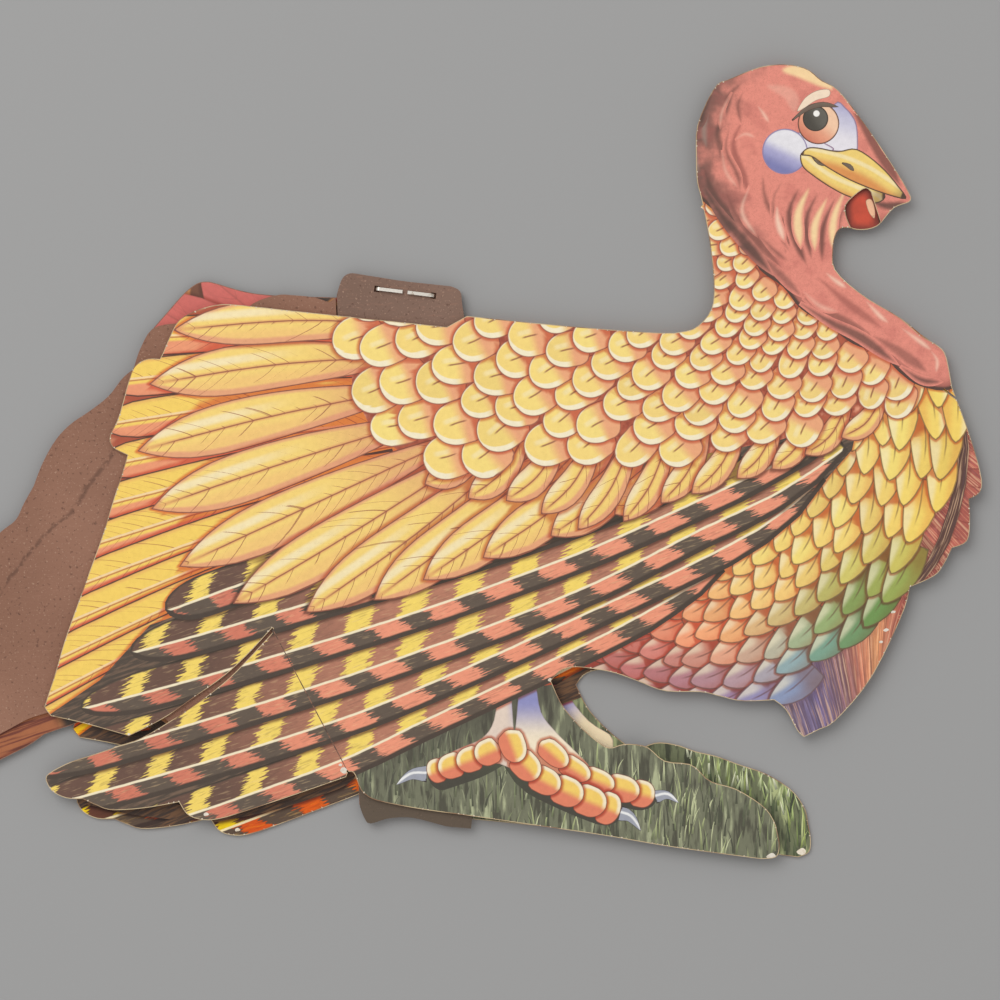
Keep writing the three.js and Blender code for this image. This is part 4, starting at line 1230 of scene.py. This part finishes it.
def film(name, sheet, shapes, level, up, fresh, ground):
    """One sheet of print on a card: its faces at the level, and a hem down to the board."""
    places, triangles, tops, known, row_of = sheet
    used = sorted({i for t in triangles for i in t})
    index = {v: k for k, v in enumerate(used)}
    corners = [[index[i] for i in t] for t in triangles]
    sides = {(a, b): k for k, t in enumerate(corners) for a, b in zip(t, t[1:] + t[:1])}
    rim = [(a, b, k) for (a, b), k in sides.items() if (b, a) not in sides]
    board_level = level - film_thickness if up else level + film_thickness
    verts = [(*places[i], level) for i in used]
    sources = list(used)
    hem = {}
    for i in (end for a, b, _ in rim for end in (a, b)):
        if i not in hem:
            hem[i] = len(verts)
            verts.append((*places[used[i]], board_level))
            sources.append(used[i])
    faces = corners + [[b, a, hem[a], hem[b]] for a, b, _ in rim]
    owners = tops + [tops[k] for _, _, k in rim]
    if not up:
        faces = [f[::-1] for f in faces]
    mesh = bpy.data.meshes.new(name)
    mesh.from_pydata(verts, [], faces)
    rows = known[[row_of[(sources[i], owner)] for face, owner in zip(faces, owners) for i in face]]
    mesh.uv_layers.new(name="lie")
    mesh.color_attributes.new("facts", "FLOAT_COLOR", "CORNER")
    mesh.color_attributes.new("tint", "FLOAT_COLOR", "CORNER")
    mesh.attributes.new("fresh", "FLOAT", "POINT")
    for layer, key, values in (
        (mesh.uv_layers["lie"], "uv", rows[:, 0:2]), (mesh.attributes["facts"], "color", rows[:, 2:6]),
        (mesh.attributes["tint"], "color", rows[:, [7, 8, 9, 6]]),
        (mesh.attributes["fresh"], "value", np.full(len(verts), fresh)),
    ):
        layer.data.foreach_set(key, values.astype(np.float32).ravel())
    keys = [shapes[i]["ink"] if i >= 0 else ground for i in owners]
    used_inks = list(dict.fromkeys(keys))
    for key in used_inks:
        mesh.materials.append(inks[key])
    mesh.polygons.foreach_set("material_index", [used_inks.index(key) for key in keys])
    return in_scene(name, mesh)


def ground_ink(tree, known):
    return mixed(noise(spot_in(tree), 500.0, 4.0), (190, 112, 84), (222, 146, 106))


inks["ground"] = ink("shadow_print", ground_ink)
far_turn = math.radians(2.06)
far_pivot = np.array(on_card(0.69, -0.02))


def fold_strip(start, end, angle, pivot):
    """The ribbon of paper over a fold between two cards, as a closed loop, and its way across."""
    a, b = turned(np.array([on_card(*start), on_card(*end)]), angle, pivot)
    way = (b - a) / np.linalg.norm(b - a)
    side = np.array((-way[1], way[0])) * (crease_reach + rim_width)
    a, b = a + way * crease_gap, b - way * crease_gap
    return np.array([a - side, b - side, b + side, a + side]), side


def face_of(card, up, face):
    """The level of a print on a card's upper or lower face, which way it looks, and what it is called."""
    foot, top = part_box(card)[0][2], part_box(card)[1][2]
    return (top + film_thickness if up else foot - film_thickness), up, face


def print_cards(shapes, cards, folds, faces, ground, fresh=0.0, angle=0.0, pivot=(0.0, 0.0)):
    """Prints the shapes on both faces of the cards that lie in one plane, and over their folds.

    Only the outer faces have faded: fresh is for the inner ones, which the light doesn't reach.
    """
    pivot = np.array(pivot)
    regions = {name: card_outlines(name) for name in cards}
    ribbons = {}
    for name, (start, end, first, second, slot) in folds.items():
        loop, across = fold_strip(start, end, angle, pivot)
        regions[name] = [loop]
        ribbons[name] = (loop.mean(0), across, first, second, slot)
    places, triangles, tops, homes = pressed(shapes, regions, angle, pivot)
    pairs = np.array(sorted({(i, top) for tri, top in zip(triangles, tops) for i in tri}))
    known = knowledge(places, pairs, shapes, angle, pivot)
    row_of = {tuple(pair): k for k, pair in enumerate(pairs.tolist())}
    for name in regions:
        chosen = [k for k, home in enumerate(homes) if home == name]
        sheet = (places, [triangles[k] for k in chosen], [tops[k] for k in chosen], known, row_of)
        for level, up, face in faces if name in cards else faces[:1]:
            made = film(f"{name}_{face}_print", sheet, shapes, level, up, fresh * (face == "inner"), ground)
            if name in cards:
                body, slot = cards[name]
                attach(made, body)
            else:
                middle, across, first, second, slot = ribbons[name]
                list(middle - across)
                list(middle + across)
                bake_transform(made)


neck_fold = ((0.7, 0.205), (0.945, 0.39))
flap_fold = ((0.272, 0.628), (0.348, 0.772))
print_cards(
    prints,
    {
        "near_body_card": ("near_side", "near_print_card"),
        "near_wing_flap": ("near_flap", "near_print_card"),
        "near_head_card": ("far_side", "head_print_card"),
    },
    {
        "neck_crease": (*neck_fold, "near_side", "far_side", "near_print_card"),
        "near_flap_crease": (*flap_fold, "near_flap", "near_side", "near_print_card"),
    },
    [face_of("near_body_card", True, "outer"), face_of("near_body_card", False, "inner")],
    "ground", 1.0,
)
# The far card shows one leg more, in the gap between the near card's belly and its grass.
vane("shank", far_shank, 0.0105, strip_widths, steps=10, lines=close_lines)
# The light falls on its grass beyond the near card's, in pale fresh blades.
far_blade_count = 90
for _ in range(far_blade_count):
    across = dice.uniform(0.66, 0.82)
    down = 0.775 + max(0.0, across - 0.7) * 0.5 + dice.uniform(-0.03, 0.02)
    top = (across + dice.uniform(-0.006, 0.006), down - dice.uniform(0.012, 0.024))
    vane("blade", [(across, down), top], dice.uniform(0.0009, 0.0015), blade_widths,
         dice.choice([(206, 214, 176), (182, 194, 146), (226, 228, 204)]), steps=4, lines=())
# Where its wing tips look out from under the near ones, dark strips lie over them between their bars: painted shade,
# the shade of the near card.
vane("dusk", [(0.175, 0.8), (0.251, 0.785), (0.327, 0.762)], 0.009, strip_widths)
vane("dusk", [(0.53, 0.692), (0.555, 0.681), (0.578, 0.669)], 0.012, strip_widths)
vane("dusk", [(0.046, 0.774), (0.101, 0.787), (0.16, 0.7965)], 0.008, strip_widths)
print_cards(
    prints,
    {"far_body_card": ("far_side", "far_print_card"), "far_wing_flap": ("far_flap", "far_print_card")},
    {"far_flap_crease": (*flap_fold, "far_flap", "far_side", "far_print_card")},
    [face_of("far_body_card", False, "outer"), face_of("far_body_card", True, "inner")],
    "ground", 1.0, far_turn, far_pivot,
)


# The snood: a small red tongue of the same printed card, glued in behind the beak.
# Its print is a glossy red drop with a dark rim and one hard highlight.
def snood_ink(tree, known):
    lit = mixed(known["Edge"].above(0.6, 2.6), (122, 32, 26), (208, 70, 46))
    return mixed(known["Edge"].below(0.2, 0.6), lit, (70, 24, 22))


inks["snood"] = ink("snood_print", snood_ink, depth=0)
prints_before = len(prints)
patch("snood", [(0.846, 0.199), (0.852, 0.19), (0.864, 0.186), (0.874, 0.192), (0.882, 0.226), (0.878, 0.232),
                (0.85, 0.23), (0.845, 0.214)], [(0.85, 0.21), (0.878, 0.215)], steps=5, rings=(0.75, 0.45))
patch("flat", [(0.8665, 0.2), (0.872, 0.199), (0.8755, 0.209), (0.875, 0.218), (0.8705, 0.214), (0.8675, 0.207)],
      [(0.868, 0.2), (0.873, 0.216)], (250, 190, 150), steps=5)
snood_prints = prints[prints_before:]
del prints[prints_before:]
finish_nodes(bpy.data.materials["card_cut_edge"], "snood")
print_cards(snood_prints, {"snood": ("far_side", "snood_card")}, {},
            [face_of("snood", True, "outer"), face_of("snood", False, "inner")], "snood")


# The fan: the tail feathers printed on the inner faces of its two halves, on raw packing board.
# Each feather has a barred brown root, a black band, and a wide red tip that fades to brown.
def fan_ink(tree, known):
    share, across, tone = known["Share"], known["Across"], known["Tone"]
    turns = (known["Along"] / 7.4).worked("FRACT")
    root = mixed(turns.above(0.0, 0.08) * turns.below(0.48, 0.56), (196, 132, 74), (112, 64, 44))
    banded = mixed(share.above(0.5, 0.53) * share.below(0.6, 0.63), root, (52, 38, 36))
    red = mixed(tone, (212, 102, 96), (168, 96, 56))
    streaks = streaks_along(tree, known, 0.05, 9.0, 1.4, 3.0).above(0.44, 0.6) * (tone + 0.08)
    tipped = mixed(share.above(0.6, 0.63), banded, mixed(streaks, red, (112, 40, 26)))
    line = mixed(0.45, tipped, (96, 42, 36))
    penned = mixed(pen_lines(tree, known, 3.4, 1.2, 0.06) * 0.35, tipped, line)
    quilled = mixed(across.within(0.1, 0.26) * 0.5, penned, line)
    return mixed(known["Edge"].below(0.05, 0.3) * 0.7, quilled, line)


inks["fan"] = ink("fan_print", fan_ink, shade=(200, 150, 140), reach=1.0)
fan_roots = [(0.345, 0.34), (0.35, 0.56), (0.352, 0.74)]
fan_tips = [(0.345, 0.285), (0.25, 0.275), (0.16, 0.29), (0.08, 0.4), (-0.02, 0.5), (-0.1, 0.62), (-0.09, 0.8),
            (0.05, 0.86), (0.2, 0.84)]
fan_overshoot = 0.06
for share, start, stop in rows_between(fan_roots, fan_tips, count=17):
    past = stop + (stop - start) * fan_overshoot
    vane("fan", [start, (start + past) / 2, past], 0.034, leaf_widths, steps=14,
         tone=min(1.0, max(0.0, (share - 0.3) / 0.3)), lines=close_lines)
fan_prints = prints[prints_before:]
del prints[prints_before:]
print_cards(fan_prints, {"far_fan_half": ("fan", "fan_print_card")}, {}, [face_of("far_fan_half", True, "inner")],
            "fan")
print_cards(fan_prints, {"near_fan_half": ("near_fan", "fan_print_card")}, {},
            [face_of("near_fan_half", False, "inner")], "fan")


# Frayed edges: along the die cut the paper has worn off the board in small pale crumbs, in clusters
# where hands have pinched it. They are scattered along each card's outline by one tree.
crumb_inputs = {"Spacing": 0.0011, "Size": 0.00017, "Share worn": 0.34}
fold_clearance = 0.0007


def edge_crumbs():
    """Scatters crumbs along a line, where a cloudy noise and chance leave them."""
    tree = bpy.data.node_groups.new("edge_crumbs", "GeometryNodeTree")
    kinds = {"Geometry": "Geometry", **dict.fromkeys(crumb_inputs, "Float"), "Seed": "Int", "Material": "Material"}
    for name, kind in kinds.items():
        tree.interface.new_socket(name, in_out="INPUT", socket_type=f"NodeSocket{kind}")
    tree.interface.new_socket("Geometry", in_out="OUTPUT", socket_type="NodeSocketGeometry")
    given = node(tree, "NodeGroupInput")

    def any_vector(low, high):
        inputs = {0: low, 1: high, "Seed": given["Seed"]}
        return node(tree, "FunctionNodeRandomValue", inputs, data_type="FLOAT_VECTOR")[0]

    line = node(tree, "GeometryNodeMeshToCurve", {"Mesh": given["Geometry"]})[0]
    spots = node(tree, "GeometryNodeCurveToPoints", {"Curve": line, "Length": given["Spacing"]}, mode="LENGTH")[0]
    clusters = noise(node(tree, "GeometryNodeInputPosition")[0], 85.0, 2.0)
    chance = node(tree, "FunctionNodeRandomValue", {"Seed": given["Seed"]}, data_type="FLOAT")[1]
    bare = (clusters * chance).worked("LESS_THAN", given["Share worn"])
    kept = node(tree, "GeometryNodeDeleteGeometry", {"Geometry": spots, "Selection": bare})[0]
    crumb = node(tree, "GeometryNodeMeshCircle", {"Vertices": 6, "Radius": given["Size"]}, fill_type="NGON")[0]
    laid = node(tree, "GeometryNodeInstanceOnPoints", {
        "Points": kept, "Instance": crumb, "Rotation": any_vector((0.0, 0.0, 0.0), (0.0, 0.0, 2 * math.pi)),
        "Scale": any_vector((0.5, 0.35, 1.0), (1.5, 1.1, 1.0)),
    })[0]
    real = node(tree, "GeometryNodeRealizeInstances", {"Geometry": laid})[0]
    finished = node(tree, "GeometryNodeSetMaterial", {"Geometry": real, "Material": given["Material"]})[0]
    node(tree, "NodeGroupOutput", {"Geometry": finished})
    return tree


def crumb_paper():
    made, tree, surface = new_material("frayed_paper")
    torn = noise(spot_in(tree), 1800.0, 3.0)
    fill(surface, {"Base Color": mixed(torn, (196, 172, 144), (244, 232, 210)), "Roughness": 0.85,
                   "Normal": bump(torn, 0.3, 0.00004)})
    return made


crumbs = edge_crumbs()
crumb_inputs["Material"] = crumb_paper()
sockets = {item.name: item.identifier for item in crumbs.interface.items_tree if item.in_out == "INPUT"}
fold_lines = [turned(np.array([on_card(*p) for p in fold]), angle, far_pivot)
              for fold in (neck_fold, flap_fold) for angle in (0.0, far_turn)]
for card, body, slot, seed in (
    ("near_body_card", "near_side", "near_print_card", 3), ("near_wing_flap", "near_flap", "near_print_card", 5),
    ("near_head_card", "far_side", "head_print_card", 8), ("far_body_card", "far_side", "far_print_card", 13),
    ("far_wing_flap", "far_flap", "far_print_card", 21),
):
    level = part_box(card)[1][2] + 2 * film_thickness
    verts, edges = [], []
    for loop in card_outlines(card):
        first = len(verts)
        verts.extend((x, y, level) for x, y in loop)
        middles = (loop + np.roll(loop, -1, axis=0)) / 2
        clear = np.min([nearest_on_line(middles, fold)[0] for fold in fold_lines], axis=0) > fold_clearance
        edges.extend((first + k, first + (k + 1) % len(loop)) for k in range(len(loop)) if clear[k])
    line_mesh = bpy.data.meshes.new(f"{card}_edge_line")
    line_mesh.from_pydata(verts, edges, [])
    line = in_scene(f"{card}_edge_line", line_mesh)
    fraying = line.modifiers.new("crumbs", "NODES")
    fraying.node_group = crumbs
    for name, value in {**crumb_inputs, "Seed": seed}.items():
        fraying[sockets[name]] = value
    baked = bpy.data.meshes.new_from_object(line.evaluated_get(bpy.context.evaluated_depsgraph_get()))
    bpy.data.objects.remove(line)
    frayed = in_scene(f"{card}_frayed_edge", baked)
    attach(frayed, body)
